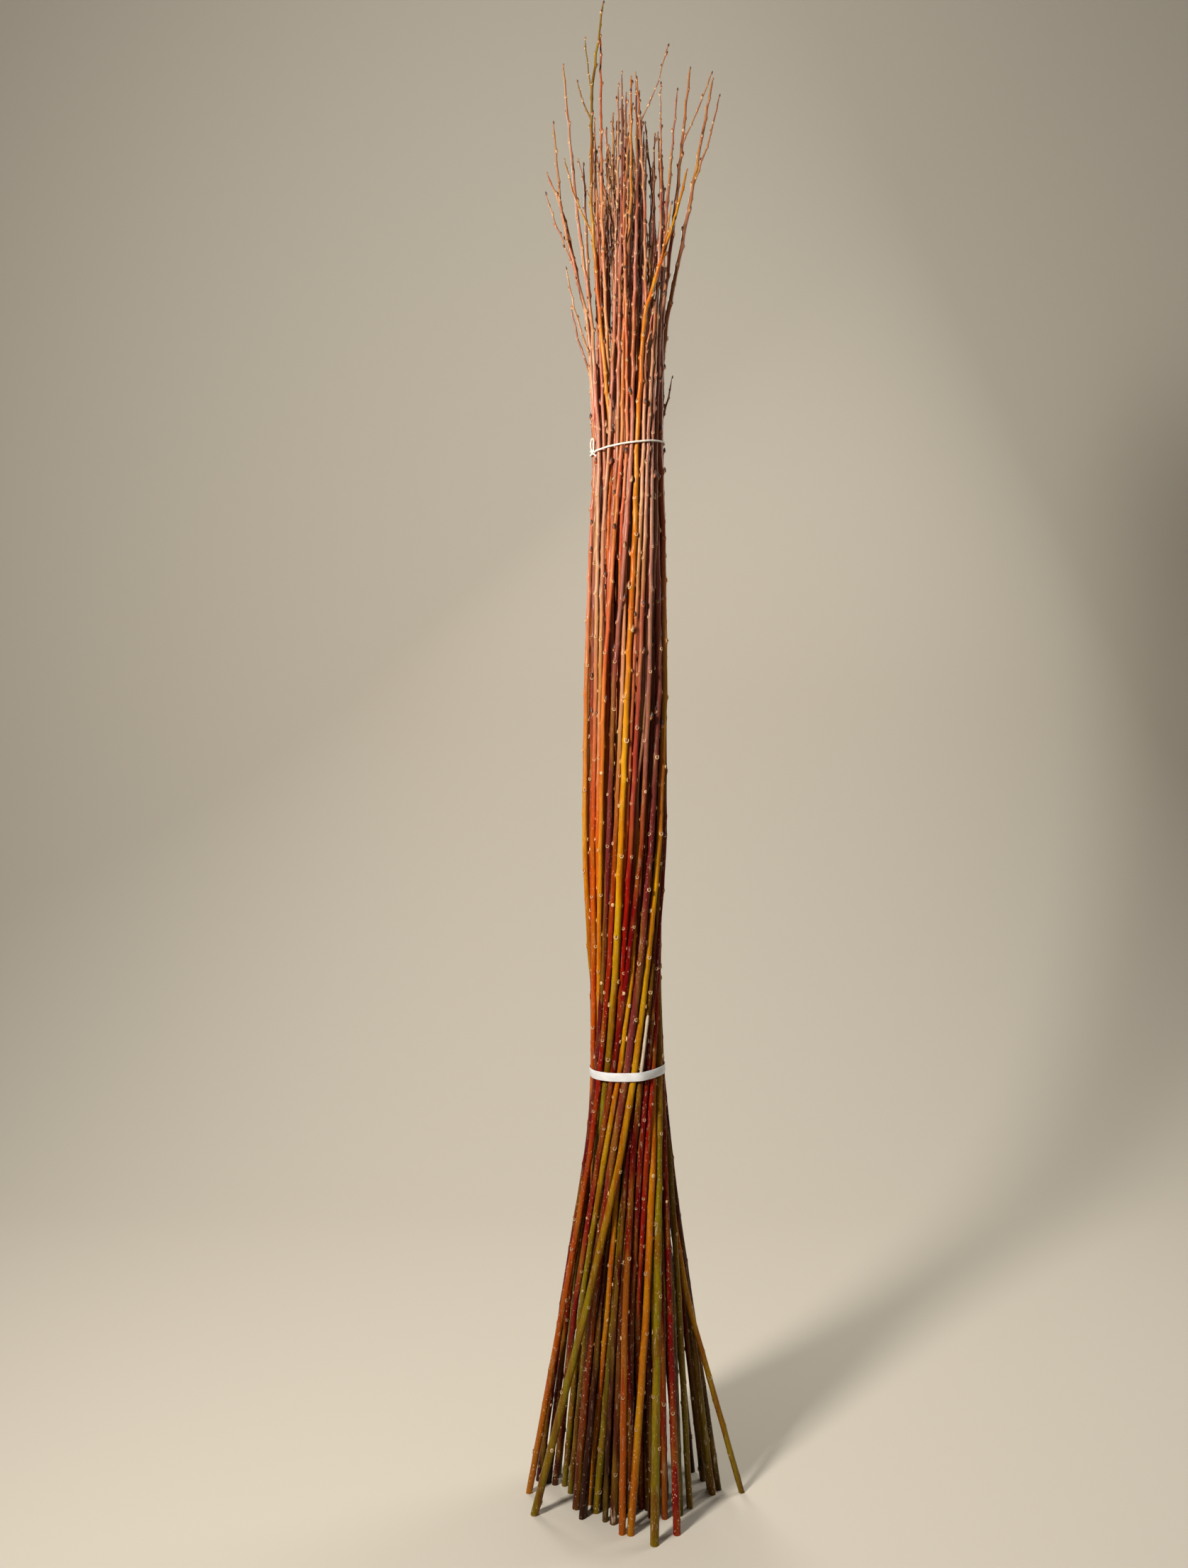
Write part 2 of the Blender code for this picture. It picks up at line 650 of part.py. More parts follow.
def centre_bundle(parts, cutters):
    """Moves everything so that the middle of the bounding box stands over the origin."""
    bpy.context.view_layer.update()
    depsgraph = bpy.context.evaluated_depsgraph_get()
    corners = []
    for piece in parts.objects:
        shaped = piece.evaluated_get(depsgraph)
        corners += [shaped.matrix_world @ vertex.co for vertex in shaped.data.vertices]
    for axis in (0, 1):
        low = min(corner[axis] for corner in corners)
        high = max(corner[axis] for corner in corners)
        for piece in list(parts.objects) + list(cutters.objects):
            piece.location[axis] -= 0.5 * (low + high)


def main():
    for leftover in list(bpy.data.objects):
        bpy.data.objects.remove(leftover)
    rng = random.Random(SEED)
    parts = make_collection("willow_bundle")
    cutters = make_collection("willow_bundle_cutters")
    rods = front_rods()
    rods += hidden_rods(ROD_COUNT - len(rods), rng)
    ease_apart(rods)
    stick = lay_stick(rods)
    shoots = grow_shoots(rods, rng)
    barks = {bark: make_material(bark + "_bark", colour, 0.45) for bark, colour in BARKS.items()}
    build_rods(rods, shoots, barks, parts, cutters)
    build_stick(stick, make_material("peeled_wood", PEELED_WOOD, 0.6), parts)
    build_strap(rods, stick, make_material("strap_plastic", STRAP_WHITE, 0.35), parts)
    build_twine(rods, make_material("twine_cotton", TWINE_WHITE, 0.9), parts, cutters)
    centre_bundle(parts, cutters)


main()
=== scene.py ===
"""Bark, leaf scars, buds and ties for the bundle of willow rods.

Each rod's centre line and thickness are read off the solid by slicing it level by level. A round
stem with swollen nodes is swept along that line, and leaf scars, knots and buds are set on it.
"""

import json
import math
import random

import bmesh
import bpy
import numpy as np
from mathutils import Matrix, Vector


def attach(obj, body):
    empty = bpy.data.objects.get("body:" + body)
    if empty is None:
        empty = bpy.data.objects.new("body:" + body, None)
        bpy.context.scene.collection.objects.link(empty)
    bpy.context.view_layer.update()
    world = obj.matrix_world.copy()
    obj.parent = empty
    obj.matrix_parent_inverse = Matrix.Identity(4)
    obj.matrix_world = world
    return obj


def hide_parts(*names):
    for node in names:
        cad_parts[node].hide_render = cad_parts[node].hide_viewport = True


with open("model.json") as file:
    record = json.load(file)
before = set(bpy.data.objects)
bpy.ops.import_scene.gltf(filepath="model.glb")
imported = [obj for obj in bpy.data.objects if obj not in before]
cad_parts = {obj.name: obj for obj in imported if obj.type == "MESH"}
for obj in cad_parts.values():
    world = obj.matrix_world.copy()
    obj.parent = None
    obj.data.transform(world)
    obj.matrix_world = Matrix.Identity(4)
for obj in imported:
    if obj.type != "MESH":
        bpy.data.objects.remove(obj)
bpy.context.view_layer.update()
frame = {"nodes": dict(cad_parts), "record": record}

SEED = 7

# Reading the solids
SLICE_STEP = 0.009
FIRST_SLICE = 0.003
STEM_FULLNESS = 1.07
SHOOT_FULLNESS = 1.18
SHORTEST_SHOOT = 0.02
MOST_SIDESTEP = 0.005
BEND_SPREAD = 0.014
MOST_SHIFT = 0.0008
MOST_SHIFT_AT_TIES = 0.0003

# Ties: height, slope to the right and size, and the height each side of them without marks
STRAP_HEIGHT, STRAP_SLOPE, STRAP_WIDTH, STRAP_THICKNESS = 0.619, 0.054, 0.012, 0.0008
TWINE_HEIGHT, TWINE_SLOPE, TWINE_RADIUS = 1.508, 0.15, 0.0014
KNOT_BEARING = 200
AXIS = Vector((-0.0118, -0.0061, 0.0))
TIE_CLEARANCE = 0.009
STRAP_STEP, STRAP_LAP, STRAP_GAP = 0.0016, 22, 0.0010
TWINE_STEP, TWINE_GAP, THIN_TWINE = 0.0006, 0.0002, 0.0010
KNOT_STEPS, KNOT_TURNS, KNOT_RADIUS, KNOT_LEAN = 80, 2.2, 0.0021, 0.0022

# Sweeping the stems, from node to node
LEAF_TURN, TURN_SPREAD = math.radians(144), 0.35
FOOT_SPACING, TOP_SPACING, SHOOT_SPACING = 0.038, 0.018, 0.012
STEM_SIDES = 8
INNER_SIDES = 6
PLAIN_STEP = 0.018
NODE_RINGS = (-0.0050, -0.0014, 0.0006, 0.0040)
SHORTEST_STEP = 0.0007
KNUCKLE_SHIFT, KNUCKLE_REACH = 0.8, 0.0026
TIP_LENGTH = 0.004
FLOOR_DIP = 0.008
PORE_DENSITY = 18000.0
PORE_SIZES = (0.0005, 0.0013)

# Scars and knots: their sizes as a share of the stem's radius, lower and higher up, and the
# least size high up. Some nodes near the foot stay bare.
LOW_SCARS, HIGH_SCARS, HIGH_SCARS_FROM = (0.62, 0.95), (0.90, 1.12), 0.62
LEAST_SIZE, LEAST_SIZE_FROM = 0.0027, 1.05
KNOT_SHARE, BARE_SHARE, BARE_BELOW = 0.14, 0.25, 0.5
NO_MARKS_BELOW = 0.012

# Where a rod grows thin, as a share of its height, with the share of nodes that have buds
THIN_FROM, MIDDLING_FROM, SMALL_BUDS_FROM = 0.78, 0.53, 0.80
BUDDED, SOME_BUDDED = 0.62, 0.28
TIP_BUDS, SMALL_BUDS, LARGE_BUDS = (0.0050, 0.0066), (0.0046, 0.0070), (0.0080, 0.0112)

# Rods deep inside the bundle
INNER_RODS = 46
INNER_REACH = 0.98
INNER_STEP = 0.035
INNER_BUTTS, INNER_TOPS = (0.0035, 0.0050), (1.74, 2.0)
SPREAD, EASING_ROUNDS, INNER_GAP, MOST_PUSH = 0.80, 90, 0.0005, 0.002
MARKED_FROM = 1.45
TAPER = ((0, 1), (0.30, 0.84), (0.48, 0.74), (0.71, 0.60), (0.87, 0.48), (0.95, 0.36), (1, 0.22))

# Linear colours of the bark
HUES = {
    "moss": (0.095, 0.080, 0.002),
    "olive": (0.26, 0.185, 0.003),
    "yellow": (0.62, 0.300, 0.003),
    "gold": (0.60, 0.190, 0.003),
    "orange": (0.56, 0.100, 0.003),
    "rust": (0.30, 0.034, 0.003),
    "red": (0.34, 0.012, 0.003),
    "crimson": (0.20, 0.004, 0.005),
    "maroon": (0.070, 0.003, 0.003),
    "wine": (0.13, 0.008, 0.010),
    "plum": (0.22, 0.040, 0.032),
    "pink": (0.48, 0.150, 0.090),
    "brown": (0.105, 0.024, 0.004),
    "umber": (0.040, 0.013, 0.004),
    "tan": (0.50, 0.200, 0.045),
    # Paler, pinker bark for the tips: partly the bark's own bloom, partly painted sheen of the
    # strong light high up
    "bloom_and_sheen": (0.56, 0.345, 0.225),
    "scar": (0.78, 0.56, 0.30),
    "seat": (0.20, 0.050, 0.012),
    "scale": (0.045, 0.024, 0.016),
    "husk": (0.30, 0.115, 0.045),
}
HUE_HEIGHTS = (0.0, 0.32, 0.62, 0.95, 1.25, 1.60, 2.00)

# Hues of the rods that show from the front, at HUE_HEIGHTS
FRONT_HUES = (
    "olive olive yellow yellow gold rust tan",
    "brown rust plum wine plum pink tan",
    "olive olive yellow gold orange orange tan",
    "umber red crimson crimson wine pink pink",
    "gold orange red rust tan gold gold",
    "maroon crimson wine wine plum pink plum",
    "olive olive olive yellow gold gold yellow",
    "rust rust orange orange tan pink tan",
    "olive olive olive yellow orange pink tan",
    "olive gold gold gold orange orange gold",
    "brown rust orange orange tan pink tan",
    "brown brown red red rust rust tan",
    "brown rust rust orange tan orange tan",
    "umber brown brown brown wine plum plum",
    "gold red maroon maroon crimson wine plum",
    "maroon crimson crimson wine plum plum tan",
    "rust red red rust rust plum plum",
    "yellow gold gold orange rust plum tan",
    "olive olive olive brown brown rust tan",
    "red crimson crimson maroon wine plum plum",
    "olive olive brown brown rust rust tan",
    "olive brown maroon maroon wine plum plum",
    "olive yellow gold olive gold gold tan",
    "gold gold orange orange rust plum tan",
    "olive moss olive brown rust plum tan",
    "brown brown umber brown rust plum tan",
    "rust red red crimson wine plum plum",
    "olive brown rust rust plum plum tan",
    "moss umber maroon maroon wine plum plum",
    "moss brown brown brown rust plum tan",
    "brown rust orange orange orange gold olive",
    "maroon brown brown wine plum pink plum",
    "brown rust rust orange orange orange tan",
    "olive olive olive olive gold tan tan",
    "maroon wine wine plum pink pink tan",
    "brown rust orange orange orange tan orange",
    "maroon wine wine wine plum plum pink",
)
HUES_BY_SLOT = {
    "yellow_bark": "olive olive gold gold orange rust tan",
    "olive_bark": "moss olive olive brown rust plum tan",
    "orange_bark": "brown gold orange rust rust plum tan",
    "red_orange_bark": "umber rust red rust wine plum tan",
    "crimson_bark": "maroon maroon crimson crimson wine plum plum",
    "maroon_bark": "umber maroon maroon wine wine plum plum",
    "purple_bark": "umber maroon wine plum plum pink plum",
    "brown_bark": "umber brown brown rust rust plum tan",
}
# A rod that is a little thicker than its solid, by number
THICKER = {9: 1.12}
# A rod that stands a little aside: height, spread and shift to the right
NUDGED = {48: (0.98, 0.17, -0.0034)}
# Rods that pale less towards their tips, with less of the bark's bloom and of the painted sheen
BLOOM_AND_SHEEN_BY_ROD = {1: 0.7, 7: 0.12, 10: 0.5, 24: 0.4, 31: 0.25, 33: 0.5, 34: 0.4, 36: 0.5}
PLUM_BLOOM_AND_SHEEN = 0.55
# Rods with scraped bark, and how far the others are scraped
SCUFFED = {2: 0.6, 3: 0.7, 16: 0.9, 19: 0.6, 20: 0.5, 22: 1.0, 26: 0.9, 29: 0.7, 30: 0.9}
LIGHT_SCUFF, INNER_SCUFF = 0.25, 0.2

# How far the bark pales towards the tips: partly the bark's own bloom, partly a painted sheen of
# the strong light high up
BLOOM_AND_SHEEN_HEIGHTS = (0.90, 1.10, 1.30, 1.50, 2.10)
BLOOM_AND_SHEEN_SHARES = (0.0, 0.22, 0.46, 0.58, 0.42)

# How light the leaf scars and pores are at each height
MARK_TONE_HEIGHTS = (0.0, 0.45, 0.75, 1.2, 2.0)
MARK_TONES = (0.84, 1.02, 1.18, 1.10, 0.95)

# How much darker the bark is painted towards the butts, as painted shade where less light falls,
# and towards the thin tips
PAINTED_SHADE_HEIGHTS = (0.0, 0.5, 0.9, 1.68, 1.90)
PAINTED_SHADES = (0.70, 0.78, 1.0, 1.0, 0.62)

# Kinds of mark on a stem
PLAIN, SCAR, KNOT, BUD, PALE_BUD = 0, 1, 2, 3, 4

# What a point of a stem carries, with its type and the name of its value
CARRIED = {
    "thick": ("FLOAT", "value"), "speckle": ("FLOAT", "value"), "scuff": ("FLOAT", "value"),
    "size": ("FLOAT", "value"), "tone": ("FLOAT", "value"), "kind": ("INT", "value"),
    "along": ("FLOAT_VECTOR", "vector"), "facing": ("FLOAT_VECTOR", "vector"),
    "bark": ("FLOAT_COLOR", "color"),
}


def mixed(first, second, share):
    return tuple(a + (b - a) * share for a, b in zip(first, second))


def circle(sides):
    """Evenly spaced angles of one turn."""
    return [2 * math.pi * side / sides for side in range(sides)]


def quads(rings, sides, closed=False):
    """The side faces of a tube whose rings of points follow each other."""
    faces = []
    for ring in range(rings if closed else rings - 1):
        here, ahead = ring * sides, (ring + 1) % rings * sides
        for side in range(sides):
            turn = (side + 1) % sides
            faces.append((here + side, here + turn, ahead + turn, ahead + side))
    return faces


def caps(rings, sides):
    """The two end faces of such a tube."""
    last = (rings - 1) * sides
    return [tuple(reversed(range(sides))), tuple(range(last, last + sides))]


def placed_in_scene(name, data):
    made = bpy.data.objects.new(name, data)
    bpy.context.scene.collection.objects.link(made)
    return made


def add(tree, kind, inputs=None, **settings):
    """Adds a node; an input that is given a socket is linked, and any other is set."""
    made = tree.nodes.new(kind)
    for name, value in settings.items():
        setattr(made, name, value)
    for key, value in (inputs or {}).items():
        if isinstance(value, bpy.types.NodeSocket):
            tree.links.new(value, made.inputs[key])
        else:
            made.inputs[key].default_value = value
    return made


# Reading the solids


def welded(node):
    """The points and triangles of a solid, with equal points merged."""
    mesh = frame["nodes"][node].data
    mesh.calc_loop_triangles()
    points = np.array([vertex.co for vertex in mesh.vertices])
    keys, index = np.unique(np.round(points, 6), axis=0, return_inverse=True)
    triangles = index.ravel()[np.array([tri.vertices for tri in mesh.loop_triangles])]
    return keys, triangles


def loops_at(points, triangles, height):
    """Centre and area of each closed outline that a level plane cuts from a solid."""
    levels = points[:, 2][triangles]
    crossing = triangles[(levels.min(axis=1) < height) & (levels.max(axis=1) > height)]
    links = {}
    places = {}
    for triangle in crossing:
        ends = []
        for first, second in ((0, 1), (1, 2), (2, 0)):
            a, b = sorted((triangle[first], triangle[second]))
            za, zb = points[a][2], points[b][2]
            if (za - height) * (zb - height) < 0:
                share = (height - za) / (zb - za)
                places[(a, b)] = points[a][:2] + share * (points[b][:2] - points[a][:2])
                ends.append((a, b))
        if len(ends) == 2:
            links.setdefault(ends[0], []).append(ends[1])
            links.setdefault(ends[1], []).append(ends[0])
    found = []
    left = set(links)
    while left:
        start = min(left)
        ring = [start]
        left.discard(start)
        while True:
            ahead = [key for key in links[ring[-1]] if key in left]
            if not ahead:
                break
            ring.append(ahead[0])
            left.discard(ahead[0])
        if len(ring) < 3:
            continue
        outline = np.array([places[key] for key in ring])
        after = np.roll(outline, -1, axis=0)
        cross = outline[:, 0] * after[:, 1] - after[:, 0] * outline[:, 1]
        area = cross.sum() / 2
        if abs(area) > 1e-8:
            centre = ((outline + after) * cross[:, None]).sum(axis=0) / (6 * area)
            found.append((centre, abs(area)))
    return found


def trace(node):
    """The main stem and the side shoots of a solid, each as rows of x, y, z, radius."""
    points, triangles = welded(node)
    points = points + np.array((0.0, 0.0, 1.7e-6))
    top = points[:, 2].max()
    heights = np.arange(FIRST_SLICE, top, SLICE_STEP)
    stem = []
    shoots = []
    for height in heights:
        loops = loops_at(points, triangles, height)
        for course in [stem] + shoots:
            if not loops or (course and course[-1][2] < height - 1.5 * SLICE_STEP):
                continue
            if course:
                last = np.array(course[-1][:2])
                before = np.array(course[-2][:2]) if len(course) > 1 else last
                aim = 2 * last - before
                gaps = [np.hypot(*(centre - aim)) for centre, _ in loops]
            else:
                gaps = [-area for _, area in loops]
            pick = int(np.argmin(gaps))
            if course and gaps[pick] > MOST_SIDESTEP:
                continue
            centre, area = loops.pop(pick)
            course.append((centre[0], centre[1], height, math.sqrt(area / math.pi)))
        for centre, area in loops:
            shoots.append([(centre[0], centre[1], height, math.sqrt(area / math.pi))])
    stem = np.array(stem)
    kept = [np.array(shoot) for shoot in shoots if shoot[-1][2] - shoot[0][2] > SHORTEST_SHOOT]
    return stem, [from_stem(stem, shoot) for shoot in kept]


def from_stem(stem, shoot):
    """Leads a shoot back down its own line to the middle of the stem it grows from."""
    rise = shoot[2, 2] - shoot[0, 2]
    lean = (shoot[2, :2] - shoot[0, :2]) / rise
    best = None
    for step in range(1, 60):
        drop = 0.001 * step
        place = shoot[0, :2] - lean * drop
        height = shoot[0, 2] - drop
        middle = np.array([np.interp(height, stem[:, 2], stem[:, axis]) for axis in (0, 1)])
        gap = np.hypot(*(place - middle))
        if best is None or gap < best[0]:
            best = (gap, (*middle, height, shoot[0, 3]))
    return np.vstack([best[1], shoot])


def trace_stick():
    """The middle line of the peeled stick, from its own solid."""
    points, triangles = welded("peeled_stick")
    heights = np.linspace(points[:, 2].min() + 0.0008, points[:, 2].max() - 0.0008, 12)
    rows = []
    for height in heights:
        centre, area = max(loops_at(points, triangles, height), key=lambda loop: loop[1])
        rows.append((centre[0], centre[1], height, math.sqrt(area / math.pi)))
    return np.array(rows)


def smooth_course(course):
    """Rounds off the bends of a course, without moving it far."""
    heights = course[:, 2]
    weights = np.exp(-0.5 * ((heights[:, None] - heights[None]) / BEND_SPREAD) ** 2)
    reach = np.minimum(heights - heights[0], heights[-1] - heights)
    weights *= np.abs(heights[:, None] - heights[None]) <= reach[:, None] + 1e-9
    weights /= weights.sum(axis=1)[:, None]
    shift = weights @ course[:, :2] - course[:, :2]
    limit = np.full(len(course), MOST_SHIFT)
    for height in (STRAP_HEIGHT, TWINE_HEIGHT):
        limit = np.where(np.abs(heights - height) < 0.03, MOST_SHIFT_AT_TIES, limit)
    size = np.hypot(shift[:, 0], shift[:, 1]) + 1e-12
    shift *= np.minimum(1.0, limit / size)[:, None]
    result = course.copy()
    result[:, :2] += shift
    result[:, 3] = weights @ course[:, 3]
    return result


def at_height(course, height):
    """Place and radius on a course at a height."""
    return [float(np.interp(height, course[:, 2], course[:, column])) for column in (0, 1, 3)]


def near_tie(x, height):
    for level, slope in ((STRAP_HEIGHT, STRAP_SLOPE), (TWINE_HEIGHT, TWINE_SLOPE)):
        if abs(height - level - slope * (x - AXIS.x)) < TIE_CLEARANCE:
            return True
    return False


# Nodes, scars and buds along a stem


def knuckle(x, height):
    """How much thicker a stem is at a node, as a share of its radius."""
    size = 0.10 + 0.34 * (max(height, 0.0) / 2.0) ** 1.5
    return 0.2 * size if near_tie(x, height) else size


class Stem:
    """A stem's points with what they carry, gathered for one rod."""

    def __init__(self):
        self.places = []
        self.edges = []
        self.carried = {name: [] for name in CARRIED}

    def put(
        self, place, colour, kind=PLAIN, thick=0.0, speckle=0.0, scuff=0.0, size=1.0,
        along=(0, 0, 1), facing=(1, 0, 0),
    ):
        """Adds one point, and hands on its number."""
        tone = float(np.interp(place[2], MARK_TONE_HEIGHTS, MARK_TONES))
        values = ([thick], [speckle], [scuff], [size], [tone], [kind], along, facing)
        for carried, value in zip(self.carried.values(), (*values, (*colour, 1.0))):
            carried.extend(value)
        self.places.append(tuple(place))
        return len(self.places) - 1


def hue_at(hues, height, bloom_and_sheen=1.0):
    """The colour of the bark at a height, paled towards the tips partly by painted sheen and
    darkened towards the butts by painted shade.
    """
    level = float(np.interp(height, HUE_HEIGHTS, range(len(HUE_HEIGHTS))))
    low = min(int(level), len(HUE_HEIGHTS) - 2)
    colour = mixed(HUES[hues[low]], HUES[hues[low + 1]], level - low)
    # Paling towards the tips, partly painted sheen of the light
    share = bloom_and_sheen * float(np.interp(height, BLOOM_AND_SHEEN_HEIGHTS, BLOOM_AND_SHEEN_SHARES))
    # Painted shade: darker towards the butts, where less light falls, and towards the thin tips
    shade = float(np.interp(height, PAINTED_SHADE_HEIGHTS, PAINTED_SHADES))
    return tuple(shade * value for value in mixed(colour, HUES["bloom_and_sheen"], share))


def node_heights(course, is_shoot, rng):
    """Heights of the leaf nodes along a course, closer together towards the tip."""
    heights = []
    height = course[0, 2] + (0.012 if is_shoot else rng.uniform(0.02, 0.05))
    top = course[-1, 2]
    while height < top - 0.006:
        heights.append(height)
        if is_shoot:
            spacing = SHOOT_SPACING + 0.006 * rng.random()
        else:
            spacing = FOOT_SPACING - (FOOT_SPACING - TOP_SPACING) * (height / top) ** 2
        height += spacing * rng.uniform(0.75, 1.35)
    return heights


def lay_course(
    stem, course, hues, scuff, is_shoot, rng, plain_step=PLAIN_STEP, marked_from=0.0, bloom_and_sheen=1.0,
):
    """Adds one stem or shoot with its nodes to a rod."""
    fullness = SHOOT_FULLNESS if is_shoot else STEM_FULLNESS
    top = course[-1, 2]
    nodes = node_heights(course, is_shoot, rng)
    turn = rng.uniform(0, 2 * math.pi)
    marks = []
    for height in nodes:
        turn += LEAF_TURN + rng.uniform(-TURN_SPREAD, TURN_SPREAD)
        sway = (0.00018 + 0.00042 * (height / 2.0) ** 2.5) * rng.uniform(0.5, 1.4)
        held = near_tie(at_height(course, height)[0], height)
        marks.append((height, turn, 0.0 if held else sway))
    node_levels = np.array([mark[0] for mark in marks])
    sway_x = np.array([mark[2] * math.cos(mark[1]) for mark in marks])
    sway_y = np.array([mark[2] * math.sin(mark[1]) for mark in marks])
    closeness = 0.6 if is_shoot else 1.0
    levels = list(np.arange(course[0, 2], top, plain_step)) + [top] + [
        mark[0] + offset * closeness for mark in marks for offset in NODE_RINGS
        if mark[0] > marked_from or offset == NODE_RINGS[2]
    ]
    levels = sorted(level for level in levels if course[0, 2] <= level <= top)
    previous = None
    wander = rng.uniform(0, 6.28)
    for index, level in enumerate(levels):
        if index and level - levels[index - 1] <= SHORTEST_STEP:
            continue
        x, y, radius = at_height(course, level)
        if marks:
            x += float(np.interp(level, node_levels, sway_x, left=0, right=0))
            y += float(np.interp(level, node_levels, sway_y, left=0, right=0))
            nearest = int(np.argmin(np.abs(node_levels - level)))
            swelling = math.exp(-abs(level - node_levels[nearest]) / KNUCKLE_REACH)
            swelling *= knuckle(x, level)
            radius *= 1.0 + swelling
            facing = marks[nearest][1]
            x += KNUCKLE_SHIFT * radius * swelling * math.cos(facing)
            y += KNUCKLE_SHIFT * radius * swelling * math.sin(facing)
        tip_share = (top - level) / TIP_LENGTH
        radius *= fullness * (min(1.0, 0.35 + 0.65 * tip_share) if tip_share < 1 else 1.0)
        colour = hue_at(hues, level + 0.03 * math.sin(11 * level + wander), bloom_and_sheen)
        speckle = 0.55 + 0.45 * math.sin(5 * level + wander) * math.cos(3 * level)
        speckle *= max(0.08, 1.0 - level / 1.35)
        point = stem.put((x, y, level), colour, thick=radius, speckle=speckle, scuff=scuff)
        if previous is not None:
            stem.edges.append((previous, point))
        previous = point
    for height, facing, _ in marks:
        if height > marked_from:
            mark_node(stem, course, fullness, height, facing, top, is_shoot, rng)
    tip_bud(stem, course, rng)


def mark_node(stem, course, fullness, height, turn, top, is_shoot, rng):
    """Sets a leaf scar, a knot or a bud on the side of a stem."""
    x, y, radius = at_height(course, height)
    if near_tie(x, height) or height < NO_MARKS_BELOW:
        return
    ahead = at_height(course, height + 0.004)
    along = Vector((ahead[0] - x, ahead[1] - y, 0.004)).normalized()
    facing = Vector((math.cos(turn), math.sin(turn), 0.0))
    facing = (facing - along * facing.dot(along)).normalized()
    way = {"along": along, "facing": facing}
    radius *= fullness
    surface = radius * (1.0 + 0.85 * knuckle(x, height) * (1.0 + KNUCKLE_SHIFT))
    middle = Vector((x, y, height))
    chance = rng.random()
    is_thin = is_shoot or height > THIN_FROM * top
    budded = BUDDED if is_thin else SOME_BUDDED if height > MIDDLING_FROM * top else 0.0
    if chance < budded:
        small = is_shoot or height > SMALL_BUDS_FROM * top
        length = rng.uniform(*(SMALL_BUDS if small else LARGE_BUDS))
        kind = PALE_BUD if rng.random() < (0.55 if small else 0.25) else BUD
        stem.put(middle + facing * 0.88 * surface, HUES["scale"], kind, size=length, **way)
    elif height < BARE_BELOW and rng.random() < BARE_SHARE:
        return
    is_knot = budded == 0.0 and chance < KNOT_SHARE
    size = radius * rng.uniform(*(LOW_SCARS if height < HIGH_SCARS_FROM else HIGH_SCARS))
    if height > LEAST_SIZE_FROM:
        size = max(size, LEAST_SIZE) * rng.uniform(1.0, 1.2)
    place = middle + facing * (surface - 0.99 * size)
    stem.put(place, HUES["scar"], KNOT if is_knot else SCAR, size=size, **way)


def tip_bud(stem, course, rng):
    """The bud that ends a stem."""
    x, y, _ = at_height(course, course[-1, 2])
    below = at_height(course, course[-1, 2] - 0.006)
    along = Vector((x - below[0], y - below[1], 0.006)).normalized()
    facing = along.orthogonal().normalized()
    place = Vector((x, y, course[-1, 2])) - along * 0.0025
    kind = PALE_BUD if rng.random() < 0.6 else BUD
    size = rng.uniform(*TIP_BUDS)
    stem.put(place, HUES["scale"], kind, size=size, along=along, facing=facing)


def stem_mesh(name, stem):
    """The plain mesh of lines and loose points that the stem tree grows a rod from."""
    mesh = bpy.data.meshes.new(name)
    mesh.from_pydata(stem.places, stem.edges, [])
    for key, (kind, field) in CARRIED.items():
        mesh.attributes.new(key, kind, "POINT").data.foreach_set(field, stem.carried[key])
    return mesh


# Small shapes set on the stems


def shape(name, places, faces, colours):
    """A small shape that the stem tree sets many times."""
    mesh = bpy.data.meshes.new(name)
    mesh.from_pydata(places, [], faces)
    flat = [value for colour in colours for value in (*colour, 1.0)]
    mesh.attributes.new("bark", "FLOAT_COLOR", "POINT").data.foreach_set("color", flat)
    mesh.update()
    return placed_in_scene(name, mesh)


def swept(path, sides, sizes):
    """Points and faces of a tube; each path row is a centre and its two side directions."""
    places = [
        centre + across * size * math.cos(angle) + out * size * math.sin(angle)
        for (centre, across, out), size in zip(path, sizes) for angle in circle(sides)
    ]
    return places, quads(len(path), sides) + caps(len(path), sides)


def leaf_scar():
    """A U-shaped pale ridge that hugs a stem of radius 1, with the bud's seat inside it."""
    path = []
    sizes = []
    for step in range(8):
        share = step / 3.5 - 1
        swing = 2.15 * share
        angle = 0.56 * math.sin(swing)
        out = Vector((math.cos(angle), math.sin(angle), 0))
        centre = out * 1.03 + Vector((0, 0, 0.10 - 0.66 * math.cos(swing)))
        tilt = Vector((-math.sin(angle), math.cos(angle), 0)) * 0.56 * math.cos(swing)
        ahead = (tilt + Vector((0, 0, 0.66 * math.sin(swing)))).normalized()
        path.append((centre, ahead.cross(out), out))
        sizes.append(0.15 * (1.0 - 0.55 * share * share))
    places, faces = swept(path, 3, sizes)
    colours = [HUES["scar"]] * len(places)
    start = len(places)
    seat = [(-0.16, 0.20, 0.03), (0.12, 0.30, 0.09), (0.42, 0.20, 0.10), (0.66, 0.05, 0.04)]
    rim = mixed(HUES["scar"], HUES["seat"], 0.55)
    for height, half, rise in seat:
        row = ((0.93, -half, height), (1.0 + rise, 0, height), (0.93, half, height))
        places += [Vector(place) for place in row]
        colours += [rim, HUES["seat"], rim]
    for row in range(3):
        a = start + 3 * row
        faces += [(a, a + 1, a + 4, a + 3), (a + 1, a + 2, a + 5, a + 4), (a + 2, a, a + 3, a + 5)]
    faces += [(start, start + 2, start + 1), (start + 9, start + 10, start + 11)]
    return shape("leaf_scar", places, faces, colours)


def round_knot():
    """A round pale knot with a sunk middle, on a stem of radius 1."""
    places = []
    colours = []
    sides = 8
    rings = ((0.60, 0.93, 0.6), (0.55, 1.08, 0.0), (0.36, 1.13, 0.0), (0.20, 1.05, 0.75))
    for size, reach, tone in rings:
        for angle in circle(sides):
            across = size * math.cos(angle)
            sag = 1.0 - math.sqrt(max(0.0, 1.0 - across * across))
            places.append(Vector((reach - sag, across, size * 1.15 * math.sin(angle))))
            colours.append(mixed(HUES["scar"], HUES["seat"], tone))
    faces = quads(len(rings), sides) + caps(len(rings), sides)[::-1]
    return shape("round_knot", places, faces, colours)


